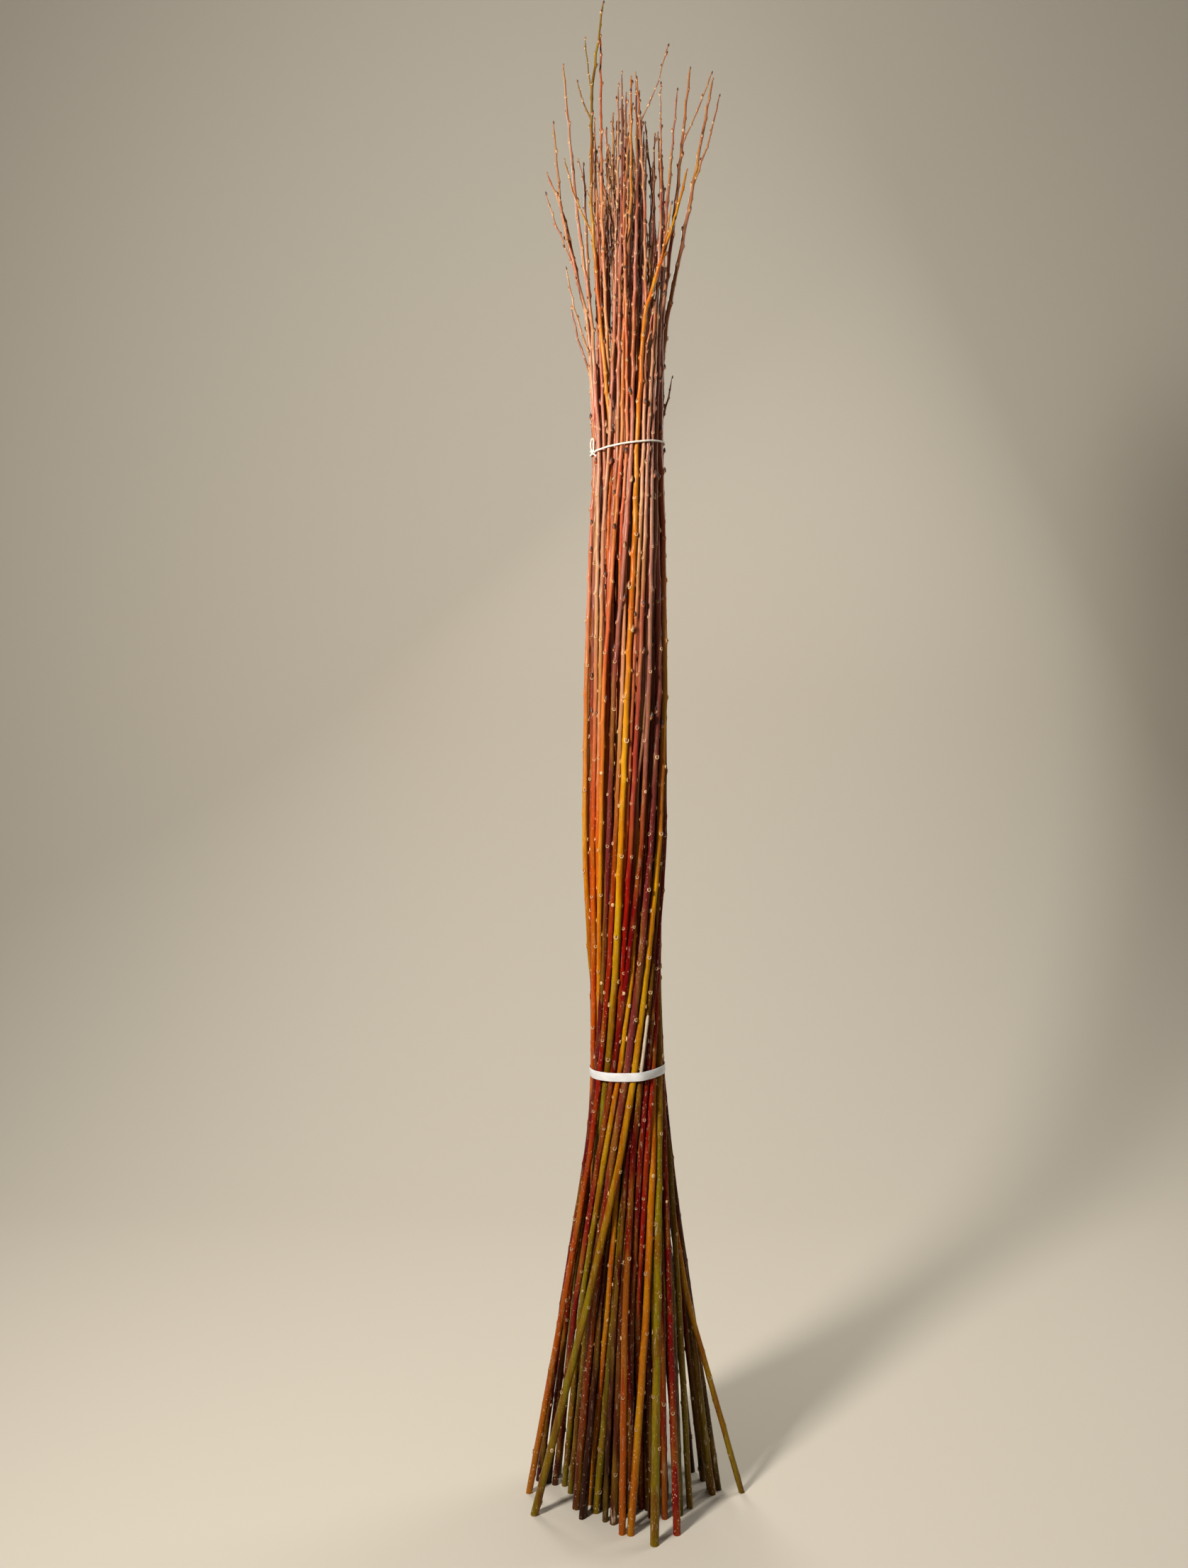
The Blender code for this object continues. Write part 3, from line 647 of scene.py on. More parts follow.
def bud(name, scale, base):
    """A plump pointed bud 1 long, lying close along the stem."""
    rows = (
        (0.0, 0.13, 1.0), (0.13, 0.21, 0.9), (0.38, 0.24, 0.10), (0.72, 0.16, 0.0),
        (1.0, 0.02, 0.3),
    )
    sides = 6
    path = []
    colours = []
    for height, half, tone in rows:
        centre = Vector((0.02 + 0.10 * height + 0.35 * half, 0, height - 0.12))
        path.append((centre, Vector((0, 1, 0)), Vector((1, 0, 0.15))))
        colours += [mixed(HUES[scale], HUES[base], tone * 0.7)] * sides
    places, faces = swept(path, sides, [row[1] for row in rows])
    return shape(name, places, faces, colours)


def pore():
    """A low pale dot, 1 across, that stands a little out of the bark."""
    foot = ((0.5, 0), (0, 0.65), (-0.5, 0), (0, -0.65))
    places = [Vector((x, y, -0.12)) for x, y in foot] + [Vector((0, 0, 0.20))]
    faces = [(side, (side + 1) % 4, 4) for side in range(4)] + [(3, 2, 1, 0)]
    return shape("pore", places, faces, [HUES["scar"]] * 5)


# Geometry node tree that grows a rod


def stem_tree(shapes, pore_shape):
    """Sweeps a round stem along every line and sets the marks on the loose points."""
    tree = bpy.data.node_groups.new("willow_stem", "GeometryNodeTree")
    for way, kind, name, start in (
        ("OUTPUT", "Geometry", "Geometry", None), ("INPUT", "Geometry", "Lines", None),
        ("INPUT", "Int", "Sides", STEM_SIDES), ("INPUT", "Float", "Pores", PORE_DENSITY),
        ("INPUT", "Int", "Seed", None), ("INPUT", "Material", "Bark", None),
        ("INPUT", "Material", "Scar", None), ("INPUT", "Material", "Bud", None),
    ):
        socket = tree.interface.new_socket(name, in_out=way, socket_type="NodeSocket" + kind)
        if start is not None:
            socket.default_value = start
    entry = add(tree, "NodeGroupInput").outputs
    leave = add(tree, "NodeGroupOutput")

    def step(kind, inputs=None, **settings):
        """Adds a geometry node and hands on what it puts out."""
        return add(tree, "GeometryNode" + kind, inputs, **settings).outputs

    def carried_value(name, kind="FLOAT"):
        return step("InputNamedAttribute", {"Name": name}, data_type=kind)["Attribute"]

    def finish(mesh, material, rounded=True):
        """Smooths a mesh, gives it its material and joins it to the rest."""
        if rounded:
            mesh = step("SetShadeSmooth", {"Geometry": mesh})[0]
        mesh = step("SetMaterial", {"Geometry": mesh, "Material": entry[material]})[0]
        tree.links.new(mesh, join.inputs["Geometry"])

    def set_on(form, placing):
        """Sets a small shape on points and makes the copies real."""
        info = step("ObjectInfo", {"Object": form}, transform_space="ORIGINAL")
        copies = step("InstanceOnPoints", {"Instance": info["Geometry"], **placing})[0]
        return step("RealizeInstances", {"Geometry": copies})[0]

    def is_kind(operation, code):
        inputs = {"A": kind_of_mark, "B": code}
        return add(
            tree, "FunctionNodeCompare", inputs, data_type="INT", operation=operation,
        ).outputs["Result"]

    join = add(tree, "GeometryNodeJoinGeometry")
    kind_of_mark = carried_value("kind", "INT")
    lines = {"Geometry": entry["Lines"], "Selection": is_kind("GREATER_THAN", PLAIN)}
    split = step("SeparateGeometry", lines, domain="POINT")
    line = step("MeshToCurve", {"Mesh": split["Inverted"]})[0]
    ring = step("CurvePrimitiveCircle", {"Resolution": entry["Sides"], "Radius": 1.0})["Curve"]
    skin = step("CurveToMesh", {
        "Curve": line, "Profile Curve": ring, "Scale": carried_value("thick"),
        "Fill Caps": True,
    })[0]
    finish(skin, "Bark")
    density = maths(tree, "MULTIPLY", carried_value("speckle"), entry["Pores"])
    spots = step("DistributePointsOnFaces", {
        "Mesh": skin, "Density": density, "Seed": entry["Seed"],
    })
    low, high = PORE_SIZES
    size = add(
        tree, "FunctionNodeRandomValue", {"Min": low, "Max": high, "Seed": entry["Seed"]},
        data_type="FLOAT",
    ).outputs["Value"]
    placing = {"Points": spots["Points"], "Rotation": spots["Rotation"], "Scale": size}
    finish(set_on(pore_shape, placing), "Scar", False)
    turned = add(
        tree, "FunctionNodeAxesToRotation",
        {
            "Primary Axis": carried_value("along", "FLOAT_VECTOR"),
            "Secondary Axis": carried_value("facing", "FLOAT_VECTOR"),
        },
        primary_axis="Z", secondary_axis="X",
    ).outputs["Rotation"]
    for code, (form, material) in shapes.items():
        finish(set_on(form, {
            "Points": split["Selection"], "Selection": is_kind("EQUAL", code),
            "Rotation": turned, "Scale": carried_value("size"),
        }), material)
    tree.links.new(join.outputs["Geometry"], leave.inputs["Geometry"])
    return tree


def grow(name, stem, tree, finishes, end_material):
    """Grows a rod with the stem tree, makes it a plain mesh and cuts its foot off flat."""
    source = placed_in_scene(name + "_lines", stem_mesh(name + "_lines", stem))
    modifier = source.modifiers.new("stem", "NODES")
    modifier.node_group = tree
    for item in tree.interface.items_tree:
        if item.in_out == "INPUT" and item.name in finishes:
            modifier[item.identifier] = finishes[item.name]
    evaluated = source.evaluated_get(bpy.context.evaluated_depsgraph_get())
    grown = bpy.data.meshes.new_from_object(evaluated)
    bpy.data.objects.remove(source)
    grown.name = name
    cut_at_floor(grown, end_material)
    return placed_in_scene(name, grown)


def cut_at_floor(mesh, end_material):
    """Cuts the foot of a rod off flat on the floor."""
    mesh.materials.append(end_material)
    work = bmesh.new()
    work.from_mesh(mesh)
    everything = work.verts[:] + work.edges[:] + work.faces[:]
    bmesh.ops.bisect_plane(
        work, geom=everything, plane_co=(0, 0, 0), plane_no=(0, 0, 1), clear_inner=True,
    )
    rim = [edge for edge in work.edges if edge.is_boundary]
    for face in bmesh.ops.holes_fill(work, edges=rim)["faces"]:
        face.material_index = len(mesh.materials) - 1
        face.smooth = False
    work.to_mesh(mesh)
    work.free()


# Materials


def new_material(name, constants):
    """A material with its plain values set."""
    material = bpy.data.materials.new(name)
    material.use_nodes = True
    for key, value in constants.items():
        material.node_tree.nodes["Principled BSDF"].inputs[key].default_value = value
    return material


class Finish:
    """A material whose colour and relief are built up from patterns."""

    def __init__(self, name, constants):
        self.material = new_material(name, constants)
        self.tree = self.material.node_tree
        self.place = self.add("TexCoord").outputs["Object"]

    def add(self, kind, inputs=None, **settings):
        return add(self.tree, "ShaderNode" + kind, inputs, **settings)

    def stretched(self, scale):
        """Places on the piece, stretched by scale."""
        return self.add("Mapping", {"Vector": self.place, "Scale": scale}).outputs["Vector"]

    def noise(self, scale, detail=2.0, rough=0.5):
        inputs = {
            "Vector": self.stretched(scale), "Scale": 1.0, "Detail": detail, "Roughness": rough,
        }
        return self.add("TexNoise", inputs).outputs["Fac"]

    def ranged(self, value, low, high, to_low=0.0, to_high=1.0):
        inputs = {
            "Value": value, "From Min": low, "From Max": high, "To Min": to_low, "To Max": to_high,
        }
        return self.add("MapRange", inputs).outputs["Result"]

    def maths(self, operation, first, second):
        return maths(self.tree, operation, first, second)

    def blend(self, share, first, second, mode="MIX"):
        inputs = {0: share, 6: first, 7: second}
        return self.add("Mix", inputs, data_type="RGBA", blend_type=mode).outputs[2]

    def carried(self, name, output="Fac"):
        """A value that the piece carries."""
        return self.add("Attribute", attribute_name=name).outputs[output]

    def show(self, name, value):
        """Links a pattern to the shader."""
        self.tree.links.new(value, self.tree.nodes["Principled BSDF"].inputs[name])

    def raise_surface(self, height, strength, distance):
        inputs = {"Height": height, "Strength": strength, "Distance": distance}
        self.show("Normal", self.add("Bump", inputs).outputs["Normal"])

    def two_toned(self, noise, low, high, light, dark):
        """Colours the piece light and dark by a noise."""
        self.show("Base Color", self.blend(self.ranged(noise, low, high), light, dark))


def maths(tree, operation, first, second):
    return add(tree, "ShaderNodeMath", {0: first, 1: second}, operation=operation).outputs[0]


def bark_material():
    """Smooth two-toned bark with fine streaks, pale breathing pores and scraped places."""
    bark = Finish("willow_bark", {
        "Specular IOR Level": 0.08, "Coat Weight": 0.09, "Coat Roughness": 0.15,
    })
    colour = bark.carried("bark", "Color")
    # The sunless side, yellowish patches and the sunned side
    for scale, detail, low, high, share, shade, mode in (
        ((105, 105, 4), 2.0, 0.40, 0.62, 0.75, (0.72, 0.24, 0.20, 1), "MULTIPLY"),
        ((60, 60, 14), 3.0, 0.52, 0.72, 0.22, (0.42, 0.17, 0.012, 1), "MIX"),
        ((95, 95, 5), 2.0, 0.50, 0.64, 0.30, (0.34, 0.20, 0.006, 1), "MIX"),
    ):
        patch = bark.ranged(bark.noise(scale, detail), low, high)
        colour = bark.blend(bark.maths("MULTIPLY", patch, share), colour, shade, mode)
    streak = bark.noise((1300, 1300, 55), 3.0, 0.6)
    colour = bark.blend(1.0, colour, bark.ranged(streak, 0.25, 0.75, 0.58, 1.28), "MULTIPLY")
    cells = bark.add("TexVoronoi", {"Vector": bark.stretched((230, 230, 150)), "Scale": 1.0})
    pore = bark.ranged(cells.outputs["Distance"], 0.20, 0.13)
    pore = bark.maths("MULTIPLY", pore, bark.carried("speckle"))
    colour = bark.blend(pore, colour, (0.74, 0.50, 0.32, 1))
    scraped = bark.ranged(bark.noise((260, 260, 34), 4.0, 0.65), 0.60, 0.68)
    scraped = bark.maths("MULTIPLY", scraped, bark.carried("scuff"))
    bark.show("Base Color", bark.blend(scraped, colour, (0.46, 0.34, 0.23, 1)))
    rough = bark.ranged(streak, 0.3, 0.7, 0.23, 0.38)
    rough = bark.maths("ADD", rough, bark.maths("MULTIPLY", scraped, 0.35))
    bark.show("Roughness", rough)
    height = bark.maths("MULTIPLY", streak, 0.35)
    height = bark.maths("ADD", height, bark.maths("MULTIPLY", pore, 0.9))
    height = bark.maths("SUBTRACT", height, bark.maths("MULTIPLY", scraped, 0.6))
    bark.raise_surface(height, 0.28, 0.0004)
    return bark.material


def painted_material(name, roughness, dark, grain, depth):
    """A matt finish in the colours that the piece carries, mottled by a fine grain."""
    paint = Finish(name, {"Roughness": roughness})
    mottle = paint.noise(grain, 3.0)
    tone = paint.ranged(mottle, 0.3, 0.7, dark, 1.12)
    tone = paint.maths("MULTIPLY", tone, paint.carried("tone"))
    paint.show("Base Color", paint.blend(1.0, paint.carried("bark", "Color"), tone, "MULTIPLY"))
    paint.raise_surface(mottle, 0.6, depth)
    return paint.material


def wood_material(name, light, dark, grain):
    """Bare pale wood with long fibres."""
    wood = Finish(name, {"Roughness": 0.65})
    fibre = wood.noise(grain, 4.0, 0.6)
    wood.two_toned(fibre, 0.35, 0.68, light, dark)
    wood.raise_surface(fibre, 0.5, 0.0003)
    return wood.material


def strap_material():
    """White packing strap with fine slanting ribs pressed into it."""
    strap = Finish("strap_plastic", {
        "Roughness": 0.32, "Subsurface Weight": 0.15, "Subsurface Radius": (0.002, 0.002, 0.002),
    })
    chart = strap.add("UVMap", uv_map="strap_chart").outputs["UV"]
    ribs = strap.add(
        "TexWave", {"Vector": chart, "Scale": 260.0, "Distortion": 0.0},
        wave_type="BANDS", bands_direction="DIAGONAL",
    )
    stain = strap.noise((70, 70, 160), 3.0)
    strap.two_toned(stain, 0.35, 0.7, (0.78, 0.78, 0.79, 1), (0.66, 0.66, 0.66, 1))
    strap.raise_surface(ribs.outputs["Fac"], 0.35, 0.0002)
    return strap.material


def twine_material():
    """Matt white cotton with a fine fuzz."""
    cotton = Finish("cotton_twine", {"Roughness": 0.95, "Sheen Weight": 0.4})
    fuzz = cotton.noise((2200, 2200, 2200), 3.0, 0.7)
    cotton.two_toned(fuzz, 0.3, 0.7, (0.82, 0.78, 0.70, 1), (0.62, 0.57, 0.48, 1))
    cotton.raise_surface(fuzz, 0.7, 0.0003)
    return cotton.material


# Ties and the peeled stick


def taut_outline(points):
    """The loop that a tight tie takes round the points, turning left."""
    points = sorted(set(points))
    loop = []
    for half in (points, points[::-1]):
        side = []
        for point in half:
            while len(side) > 1:
                (ax, ay), (bx, by) = side[-2:]
                if (bx - ax) * (point[1] - ay) - (by - ay) * (point[0] - ax) > 1e-12:
                    break
                side.pop()
            side.append(point)
        loop += side[:-1]
    return loop


def tie_loop(stems, height, slope, standoff, step, extra=(), rounds=3):
    """Evenly spaced points of a tight loop round the stems, in its own sloping plane."""
    points = []
    circles = []
    for course in stems:
        level = height
        for _ in range(3):
            x, y, radius = at_height(course, level)
            level = height + slope * (x - AXIS.x)
        circles.append((x, y, radius * STEM_FULLNESS))
    for x, y, radius in circles + list(extra):
        reach = radius + standoff
        for angle in circle(24):
            points.append((x + reach * math.cos(angle), y + reach * math.sin(angle)))
    corners = np.array(taut_outline(points))
    closed = np.vstack([corners, corners[:1]])
    run = np.concatenate([[0], np.cumsum(np.hypot(*np.diff(closed, axis=0).T))])
    count = int(run[-1] / step)
    spots = np.linspace(0, run[-1], count, endpoint=False)
    loop = np.stack([np.interp(spots, run, closed[:, axis]) for axis in (0, 1)], axis=1)
    for _ in range(rounds):
        loop = 0.25 * np.roll(loop, 1, axis=0) + 0.5 * loop + 0.25 * np.roll(loop, -1, axis=0)
    return [Vector((x, y, height + slope * (x - AXIS.x))) for x, y in loop]


def new_piece(name, places, faces, material, chart=None):
    """A smooth closed piece, with its own UV map where its pattern follows it."""
    mesh = bpy.data.meshes.new(name)
    mesh.from_pydata([tuple(place) for place in places], [], faces)
    mesh.materials.append(material)
    if chart:
        layer = mesh.uv_layers.new(name="strap_chart")
        for loop in mesh.loops:
            layer.data[loop.index].uv = chart[loop.vertex_index]
    mesh.shade_smooth()
    work = bmesh.new()
    work.from_mesh(mesh)
    bmesh.ops.recalc_face_normals(work, faces=work.faces)
    work.to_mesh(mesh)
    work.free()
    return placed_in_scene(name, mesh)


def strap_piece(stems, stick, material):
    """The flat strap, whose ends lap over each other at the back."""
    loop = tie_loop(stems, STRAP_HEIGHT, STRAP_SLOPE, STRAP_GAP, STRAP_STEP, stick, 40)
    start = max(range(len(loop)), key=lambda index: loop[index].y)
    order = [(start + step) % len(loop) for step in range(len(loop) + STRAP_LAP)]
    half = STRAP_WIDTH / 2
    flat = half - 0.0003
    section = (
        (-half, 0.15), (-flat, 0), (flat, 0), (half, 0.15),
        (half, 0.85), (flat, 1), (-flat, 1), (-half, 0.85),
    )
    up = Vector((-STRAP_SLOPE, 0, 1)).normalized()
    places = []
    chart = []
    for step, index in enumerate(order):
        here = loop[index]
        ahead = loop[(index + 1) % len(loop)] - loop[index - 1]
        ahead.normalize()
        out = ahead.cross(up).normalized()
        over = step - len(loop) + 10
        lift = min(1.0, over / 8) * (STRAP_THICKNESS + 0.00008) if over > 0 else 0.0
        for across, depth in section:
            places.append(here + up * across + out * (depth * STRAP_THICKNESS + lift))
            chart.append((step * STRAP_STEP, across))
    faces = quads(len(order), len(section)) + caps(len(order), len(section))
    return new_piece("packing_strap", places, faces, material, chart)


def strand_tube(path, radius, closed, strands=3, sides=15, lay=0.009):
    """A tube twisted from strands, as points and faces."""
    places = []
    count = len(path)
    run = 0.0
    out = None
    for index, here in enumerate(path):
        if closed or index < count - 1:
            ahead = path[(index + 1) % count]
        else:
            ahead = here + (here - path[index - 1])
        behind = path[index - 1] if closed or index else here - (ahead - here)
        along = (ahead - behind).normalized()
        if out is None:
            out = along.orthogonal().normalized()
        out = (out - along * out.dot(along)).normalized()
        across = along.cross(out)
        run += (here - path[index - 1]).length if index else 0.0
        for angle in circle(sides):
            lobe = 1.0 + 0.14 * math.cos(strands * (angle - 2 * math.pi * run / lay))
            reach = out * math.cos(angle) + across * math.sin(angle)
            places.append(here + reach * radius * lobe * 0.93)
    return places, quads(count, sides, closed) + ([] if closed else caps(count, sides))


def spline(points, count):
    """A smooth line through the points."""
    points = [points[0]] + list(points) + [points[-1]]
    result = []
    spans = len(points) - 3
    for step in range(count):
        place = step / (count - 1) * spans
        index = min(int(place), spans - 1)
        t = place - index
        a, b, c, d = points[index:index + 4]
        bend = 2 * b + (c - a) * t + (2 * a - 5 * b + 4 * c - d) * t * t
        result.append(0.5 * (bend + (3 * b - a - 3 * c + d) * t ** 3))
    return result


def twine_piece(stems, material):
    """The twine with its knot, the slip loop that stands above it and two short ends."""
    gap = TWINE_RADIUS + TWINE_GAP
    loop = tie_loop(stems, TWINE_HEIGHT, TWINE_SLOPE, gap, TWINE_STEP)
    places, faces = strand_tube(loop, TWINE_RADIUS, True)
    bearing = math.radians(KNOT_BEARING)
    out = Vector((math.cos(bearing), math.sin(bearing), 0))
    aside = Vector((0.86, -0.50, 0)).normalized()
    up = Vector((0, 0, 1))

    def bearing_match(place):
        return Vector((place.x - AXIS.x, place.y - AXIS.y, 0)).normalized().dot(out)

    centre = max(loop, key=bearing_match) + out * 0.0020
    wrap = []
    last = KNOT_STEPS - 1
    for step in range(KNOT_STEPS):
        angle = 2 * math.pi * KNOT_TURNS * step / last
        lean = KNOT_LEAN * (step / last - 0.5) * 2
        turned = out * math.cos(angle) + up * math.sin(angle)
        wrap.append(centre + turned * KNOT_RADIUS + aside * lean)
    paths = [wrap]
    # Places of each line: sideways, outwards and up from the knot
    slip_loop = (
        (-0.0012, 0.0, 0.0005), (-0.0021, 0.0012, 0.006), (-0.0023, 0.0014, 0.012),
        (-0.0012, 0.0012, 0.0178), (0.0006, 0.0012, 0.0190), (0.0020, 0.0010, 0.0165),
        (0.0021, 0.0009, 0.0100), (0.0011, 0.0003, 0.0010),
    )
    long_end = (
        (0.0, 0.0, 0.0), (0.0035, 0.0016, 0.0004), (0.0070, 0.0022, -0.0006),
        (0.0100, 0.0026, 0.0016),
    )
    short_end = (
        (0.0, 0.0, 0.0), (0.0022, 0.0018, -0.0026), (0.0050, 0.0020, -0.0044),
        (0.0080, 0.0022, -0.0068),
    )
    for line, count in ((slip_loop, 60), (long_end, 26), (short_end, 26)):
        paths.append(spline([centre + aside * x + up * z + out * y for x, y, z in line], count))
    for path in paths:
        more, more_faces = strand_tube(path, THIN_TWINE, False, 3, 12, 0.006)
        start = len(places)
        places += more
        faces += [tuple(start + index for index in face) for face in more_faces]
    return new_piece("tying_twine", places, faces, material)


def stick_piece(course, material):
    """The peeled stick, round with a worn top end and faint node rings."""
    places = []
    sides = 14
    levels = np.linspace(course[0, 2], course[-1, 2], 46)
    for level in levels:
        x, y, radius = at_height(course, level)
        radius *= 1.06 * (1.0 + 0.05 * math.sin(210 * level) + 0.03 * math.sin(90 * level))
        near = (levels[-1] - level) / 0.003
        if near < 1:
            radius *= math.sqrt(max(0.12, 1 - (1 - near) ** 2))
        for angle in circle(sides):
            places.append((x + radius * math.cos(angle), y + radius * math.sin(angle), level))
    faces = quads(len(levels), sides) + caps(len(levels), sides)
    return new_piece("peeled_willow_stick", places, faces, material)


# Putting the bundle together


def fit(piece, node=None):
    """Makes a piece ride on the bundle and stand for its solid."""
    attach(piece, "root")
    if node:
        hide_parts(node)


def inner_courses(courses, rng):
    """Courses for the rods deep inside the bundle, which follow the rods round them."""
    levels = np.arange(-0.005, 2.0, 0.03)
    start = int(np.argmin(np.abs(levels - STRAP_HEIGHT)))
    solids = np.full((len(levels), len(courses), 3), np.nan)
    for column, (stem, _) in enumerate(courses.values()):
        for row, level in enumerate(levels):
            if level <= stem[-1, 2]:
                solids[row, column] = at_height(stem, level)
    butts = np.array([rng.uniform(*INNER_BUTTS) for _ in range(INNER_RODS)])
    tops = np.array([rng.uniform(*INNER_TOPS) for _ in range(INNER_RODS)])
    # Spread evenly like the seeds in a sunflower
    count = np.arange(INNER_RODS)
    reach = SPREAD * np.sqrt((count + 0.5) / INNER_RODS)
    turn = count * math.radians(137.5)
    middle, half = bundle_extent(solids[start])
    first = middle + np.stack([reach * np.cos(turn), reach * np.sin(turn)], axis=1) * half
    places = {start: eased(first, solids[start], inner_radii(butts, tops, levels[start]))}
    for order in (range(start + 1, len(levels)), range(start - 1, -1, -1)):
        last = start
        for row in order:
            now = carried(places[last], solids[last], solids[row])
            places[row] = eased(now, solids[row], inner_radii(butts, tops, levels[row]))
            last = row
    made = []
    for number in range(INNER_RODS):
        rows = [
            (*places[row][number], level, inner_radii(butts, tops, level)[number])
            for row, level in enumerate(levels) if level <= tops[number]
        ]
        made.append(smooth_course(np.array(rows)))
    return made


def inner_radii(butts, tops, level):
    """The radii of the inner rods at one level."""
    share = np.clip(level / tops, 0, 1)
    return butts * np.interp(share, [row[0] for row in TAPER], [row[1] for row in TAPER])


def bundle_extent(solids):
    """Middle and half widths of the bundle at one level."""
    there = solids[~np.isnan(solids[:, 0]), :2]
    return there.mean(axis=0), 1.55 * there.std(axis=0)


def carried(places, before, after):
    """Moves places as the rods round them move from one level to the next."""
    both = ~np.isnan(before[:, 0]) & ~np.isnan(after[:, 0])
    gaps = np.linalg.norm(places[:, None] - before[None, both, :2], axis=2)
    weights = np.exp(-0.5 * (gaps / 0.022) ** 2) + 1e-6
    weights /= weights.sum(axis=1)[:, None]
    return places + weights @ (after[both, :2] - before[both, :2])


def eased(places, solids, radii):
    """Pushes inner rods clear of the solids and of each other, inside the bundle."""
    places = places.copy()
    there = solids[~np.isnan(solids[:, 0])]
    middle, half = bundle_extent(solids)
    for _ in range(EASING_ROUNDS):
        push = np.zeros_like(places)
        outer = (there[:, :2], there[:, 2] * STEM_FULLNESS, 0.8)
        for others, sizes, share in (outer, (places, radii, 0.5)):
            away = places[:, None] - others[None]
            gaps = np.linalg.norm(away, axis=2) + 1e-9
            need = radii[:, None] + sizes[None] + INNER_GAP - gaps
            if others is places:
                np.fill_diagonal(need, 0)
            push += (away / gaps[..., None] * np.clip(need, 0, None)[..., None]).sum(axis=1) * share
        places += np.clip(push, -MOST_PUSH, MOST_PUSH)
        reach = np.linalg.norm((places - middle) / half, axis=1)
        kept = np.minimum(1, INNER_REACH / np.maximum(reach, 1e-9))
        places = middle + (places - middle) * kept[:, None]
    return places


def inner_shoots(course, rng):
    """Short side shoots near the top of an inner rod."""
    shoots = []
    for _ in range(rng.choice((2, 2, 3, 3))):
        start = course[-1, 2] * rng.uniform(0.88, 0.97)
        x, y, radius = at_height(course, start)
        bearing = rng.uniform(0, 2 * math.pi)
        lean = rng.uniform(0.04, 0.17)
        length = rng.uniform(0.03, 0.10)
        rows = []
        for step in range(7):
            share = step / 6
            out = lean * length * share * (1.25 - 0.25 * share)
            rows.append((
                x + out * math.cos(bearing), y + out * math.sin(bearing) * 0.8,
                start + length * share, radius * 0.55 * (1 - 0.5 * share),
            ))
        shoots.append(np.array(rows))
    return shoots


def fitted_course(number, course):
    """The course of a rod as it is shown: moved and thickened where it says so, and led
    down through the floor, where it is cut off."""
    course = course.copy()
    course[:, 3] *= THICKER.get(number, 1.0)
    if number in NUDGED:
        level, spread, shift = NUDGED[number]
        course[:, 0] += shift * np.exp(-0.5 * ((course[:, 2] - level) / spread) ** 2)
    slope = (course[4] - course[0]) / (course[4, 2] - course[0, 2])
    foot = course[0] - slope * FLOOR_DIP
    foot[3] = course[0, 3]
    return np.vstack([foot, course])


def build_rods(courses, slots):
    """Grows every rod that has a solid, and the inner rods between them."""
    scar = painted_material("leaf_scar", 0.6, 0.80, (900, 900, 700), 0.0003)
    scale = painted_material("bud_scale", 0.42, 0.6, (500, 500, 160), 0.0002)
    end = wood_material("cut_wood", (0.52, 0.38, 0.22, 1), (0.30, 0.19, 0.09, 1), (600, 600, 600))
    finishes = {
        "Bark": bark_material(), "Scar": scar, "Bud": scale,
        "Sides": STEM_SIDES, "Pores": PORE_DENSITY,
    }
    shapes = {
        SCAR: (leaf_scar(), "Scar"),
        KNOT: (round_knot(), "Scar"),
        BUD: (bud("dark_bud", "scale", "orange"), "Bud"),
        PALE_BUD: (bud("pale_bud", "husk", "scar"), "Bud"),
    }
    pore_shape = pore()
    tree = stem_tree(shapes, pore_shape)
    for number, (node, (course, shoots)) in enumerate(sorted(courses.items()), 1):
        rng = random.Random(1000 * SEED + number)
        slot = slots[node]
        is_front = number <= len(FRONT_HUES)
        hues = (FRONT_HUES[number - 1] if is_front else HUES_BY_SLOT[slot]).split()
        scuff = SCUFFED.get(number, LIGHT_SCUFF)
        # How far each rod pales towards its tip, partly bloom and partly painted sheen
        bloom_and_sheen = BLOOM_AND_SHEEN_BY_ROD.get(number, PLUM_BLOOM_AND_SHEEN if "plum" in hues else 1.0)
        stem = Stem()
        lay_course(stem, fitted_course(number, course), hues, scuff, False, rng, bloom_and_sheen=bloom_and_sheen)
        for shoot in shoots:
            lay_course(stem, shoot, hues, 0.0, True, rng, bloom_and_sheen=bloom_and_sheen)
        fit(grow("willow_" + node, stem, tree, {**finishes, "Seed": number}, end), node)
    names = sorted(HUES_BY_SLOT)
    rng = random.Random(SEED)
    plain = {**finishes, "Sides": INNER_SIDES, "Pores": 0.0}
    for number, course in enumerate(inner_courses(courses, rng), 1):
        slot = names[number % len(names)]
        hues = HUES_BY_SLOT[slot].split()
        stem = Stem()
        lay_course(stem, course, hues, INNER_SCUFF, False, rng, INNER_STEP, MARKED_FROM)
        for shoot in inner_shoots(course, rng):
            lay_course(stem, shoot, hues, 0.0, True, rng)
        name = "willow_inner_rod_%02d" % number
        fit(grow(name, stem, tree, {**plain, "Seed": 100 + number}, end))
    for form in [pore_shape] + [form for form, _ in shapes.values()]:
        bpy.data.objects.remove(form)


def build_stage():
    """A pale floor that sweeps up behind the bundle."""
    bend_start, bend, steps = 1.2, 1.2, 16
    floor_line = [(-5.0, 0.0)]
    for step in range(steps + 1):
        angle = math.pi / 2 * step / steps
        floor_line.append((bend_start + bend * math.sin(angle), bend - bend * math.cos(angle)))
    floor_line.append((bend_start + bend, 6.0))
    places = [(x, y, z) for y, z in floor_line for x in (-6.0, 6.0)]
    faces = [(2 * i, 2 * i + 1, 2 * i + 3, 2 * i + 2) for i in range(len(floor_line) - 1)]
    mesh = bpy.data.meshes.new("studio_floor")
    mesh.from_pydata(places, [], faces)
    mesh.shade_smooth()
    paper = {"Base Color": (0.66, 0.61, 0.52, 1), "Roughness": 0.9}
    mesh.materials.append(new_material("studio_paper", paper))
    placed_in_scene("studio_floor", mesh)


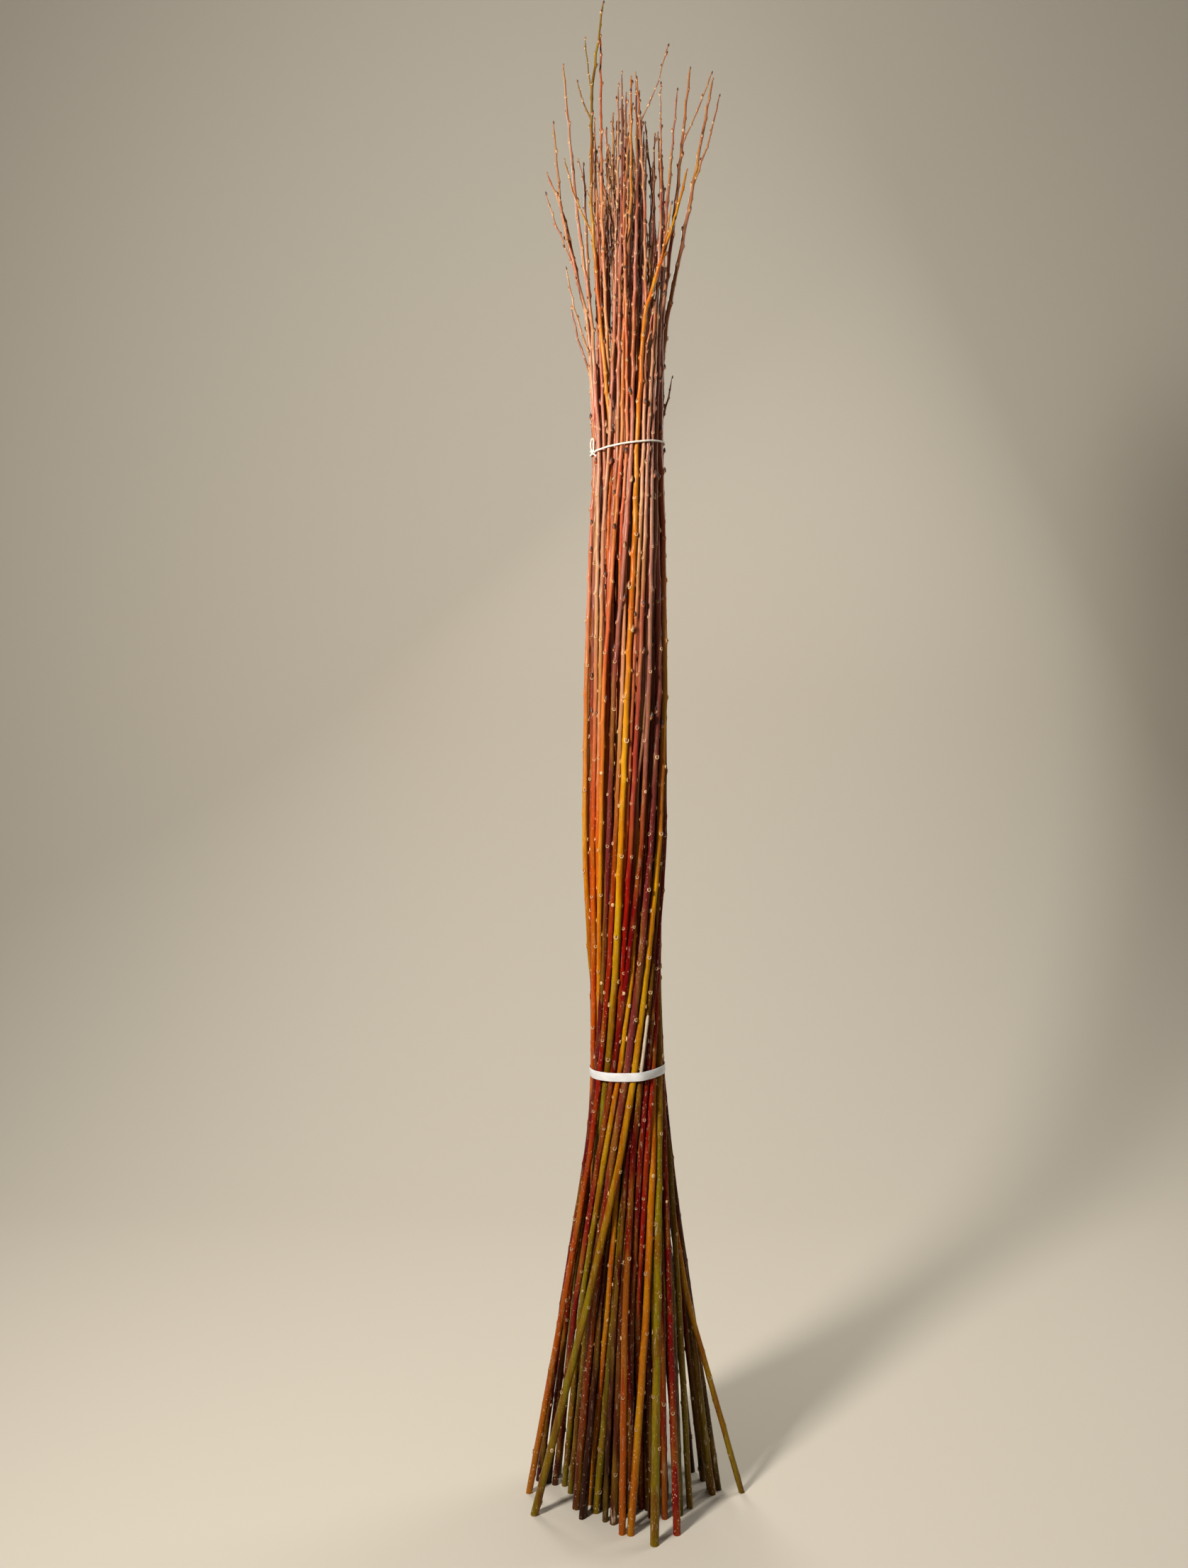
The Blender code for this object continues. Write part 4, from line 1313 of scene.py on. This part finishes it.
def build_lights():
    """Round soft lights, each turned to what it aims at, and a faint light from all sides."""
    for name, place, aim, size, power, colour in (
        ("key_light", (-1.12, -1.45, 1.92), (0, 0, 1.66), 0.34, 69, (1.0, 0.95, 0.88)),
        ("fill_light", (2.0, -2.4, 1.2), (0, 0, 0.9), 1.6, 1.6, (1.0, 0.97, 0.92)),
        ("side_light", (1.9, 1.1, 2.2), (0, 0, 1.3), 1.2, 22, (1.0, 0.97, 0.92)),
        ("back_light", (-0.9, 1.7, 2.3), (0, 0, 1.3), 1.0, 20, (1.0, 0.97, 0.92)),
        ("backdrop_light", (0.0, 0.2, 3.9), (0, 2.4, 0.9), 2.0, 13, (1.0, 0.98, 0.95)),
    ):
        lamp = bpy.data.lights.new(name, "AREA")
        lamp.shape = "DISK"
        lamp.size, lamp.energy, lamp.color = size, power, colour
        holder = placed_in_scene(name, lamp)
        holder.location = place
        holder.rotation_euler = (Vector(aim) - Vector(place)).to_track_quat("-Z", "Y").to_euler()
    world = bpy.data.worlds.new("studio")
    bpy.context.scene.world = world
    world.use_nodes = True
    back = world.node_tree.nodes["Background"]
    back.inputs["Color"].default_value = (1.0, 0.95, 0.88, 1)
    back.inputs["Strength"].default_value = 0.085


def build_picture():
    """Plain colours: what a material says is what the picture shows."""
    bpy.context.scene.view_settings.view_transform = "Standard"


def build_camera():
    """A level camera, shifted down a little as the photograph's framing needs."""
    image_height = 2212
    focal_pixels = 2066
    horizon_offset = 91
    camera = bpy.data.cameras.new("camera")
    camera.sensor_fit = "VERTICAL"
    camera.sensor_height = 24.0
    camera.lens = camera.sensor_height * focal_pixels / image_height
    camera.shift_y = -horizon_offset / image_height
    holder = placed_in_scene("camera", camera)
    holder.location = (-0.0598, -2.1101, 1.120)
    holder.rotation_euler = (math.radians(90), 0, 0)
    bpy.context.scene.camera = holder


build_camera()
build_picture()
build_lights()
build_stage()
slots = {part["node"]: part["material_slot"] for part in frame["record"]["subparts"]}
courses = {}
for node in sorted(frame["nodes"]):
    if node.startswith("rod_"):
        stem_course, shoot_courses = trace(node)
        courses[node] = (smooth_course(stem_course), shoot_courses)
build_rods(courses, slots)
stems = [stem for stem, _ in courses.values() if stem[-1, 2] > 1.6]
stick_line = trace_stick()
held = [(*stick_line[0, :2], stick_line[0, 3] * 1.1), (*stick_line[2, :2], stick_line[2, 3] * 1.1)]
peeled = wood_material("peeled_wood", (0.62, 0.52, 0.40, 1), (0.40, 0.30, 0.20, 1), (900, 900, 60))
fit(stick_piece(stick_line, peeled), "peeled_stick")
fit(strap_piece(stems, held, strap_material()), "strap")
fit(twine_piece(stems, twine_material()), "twine")
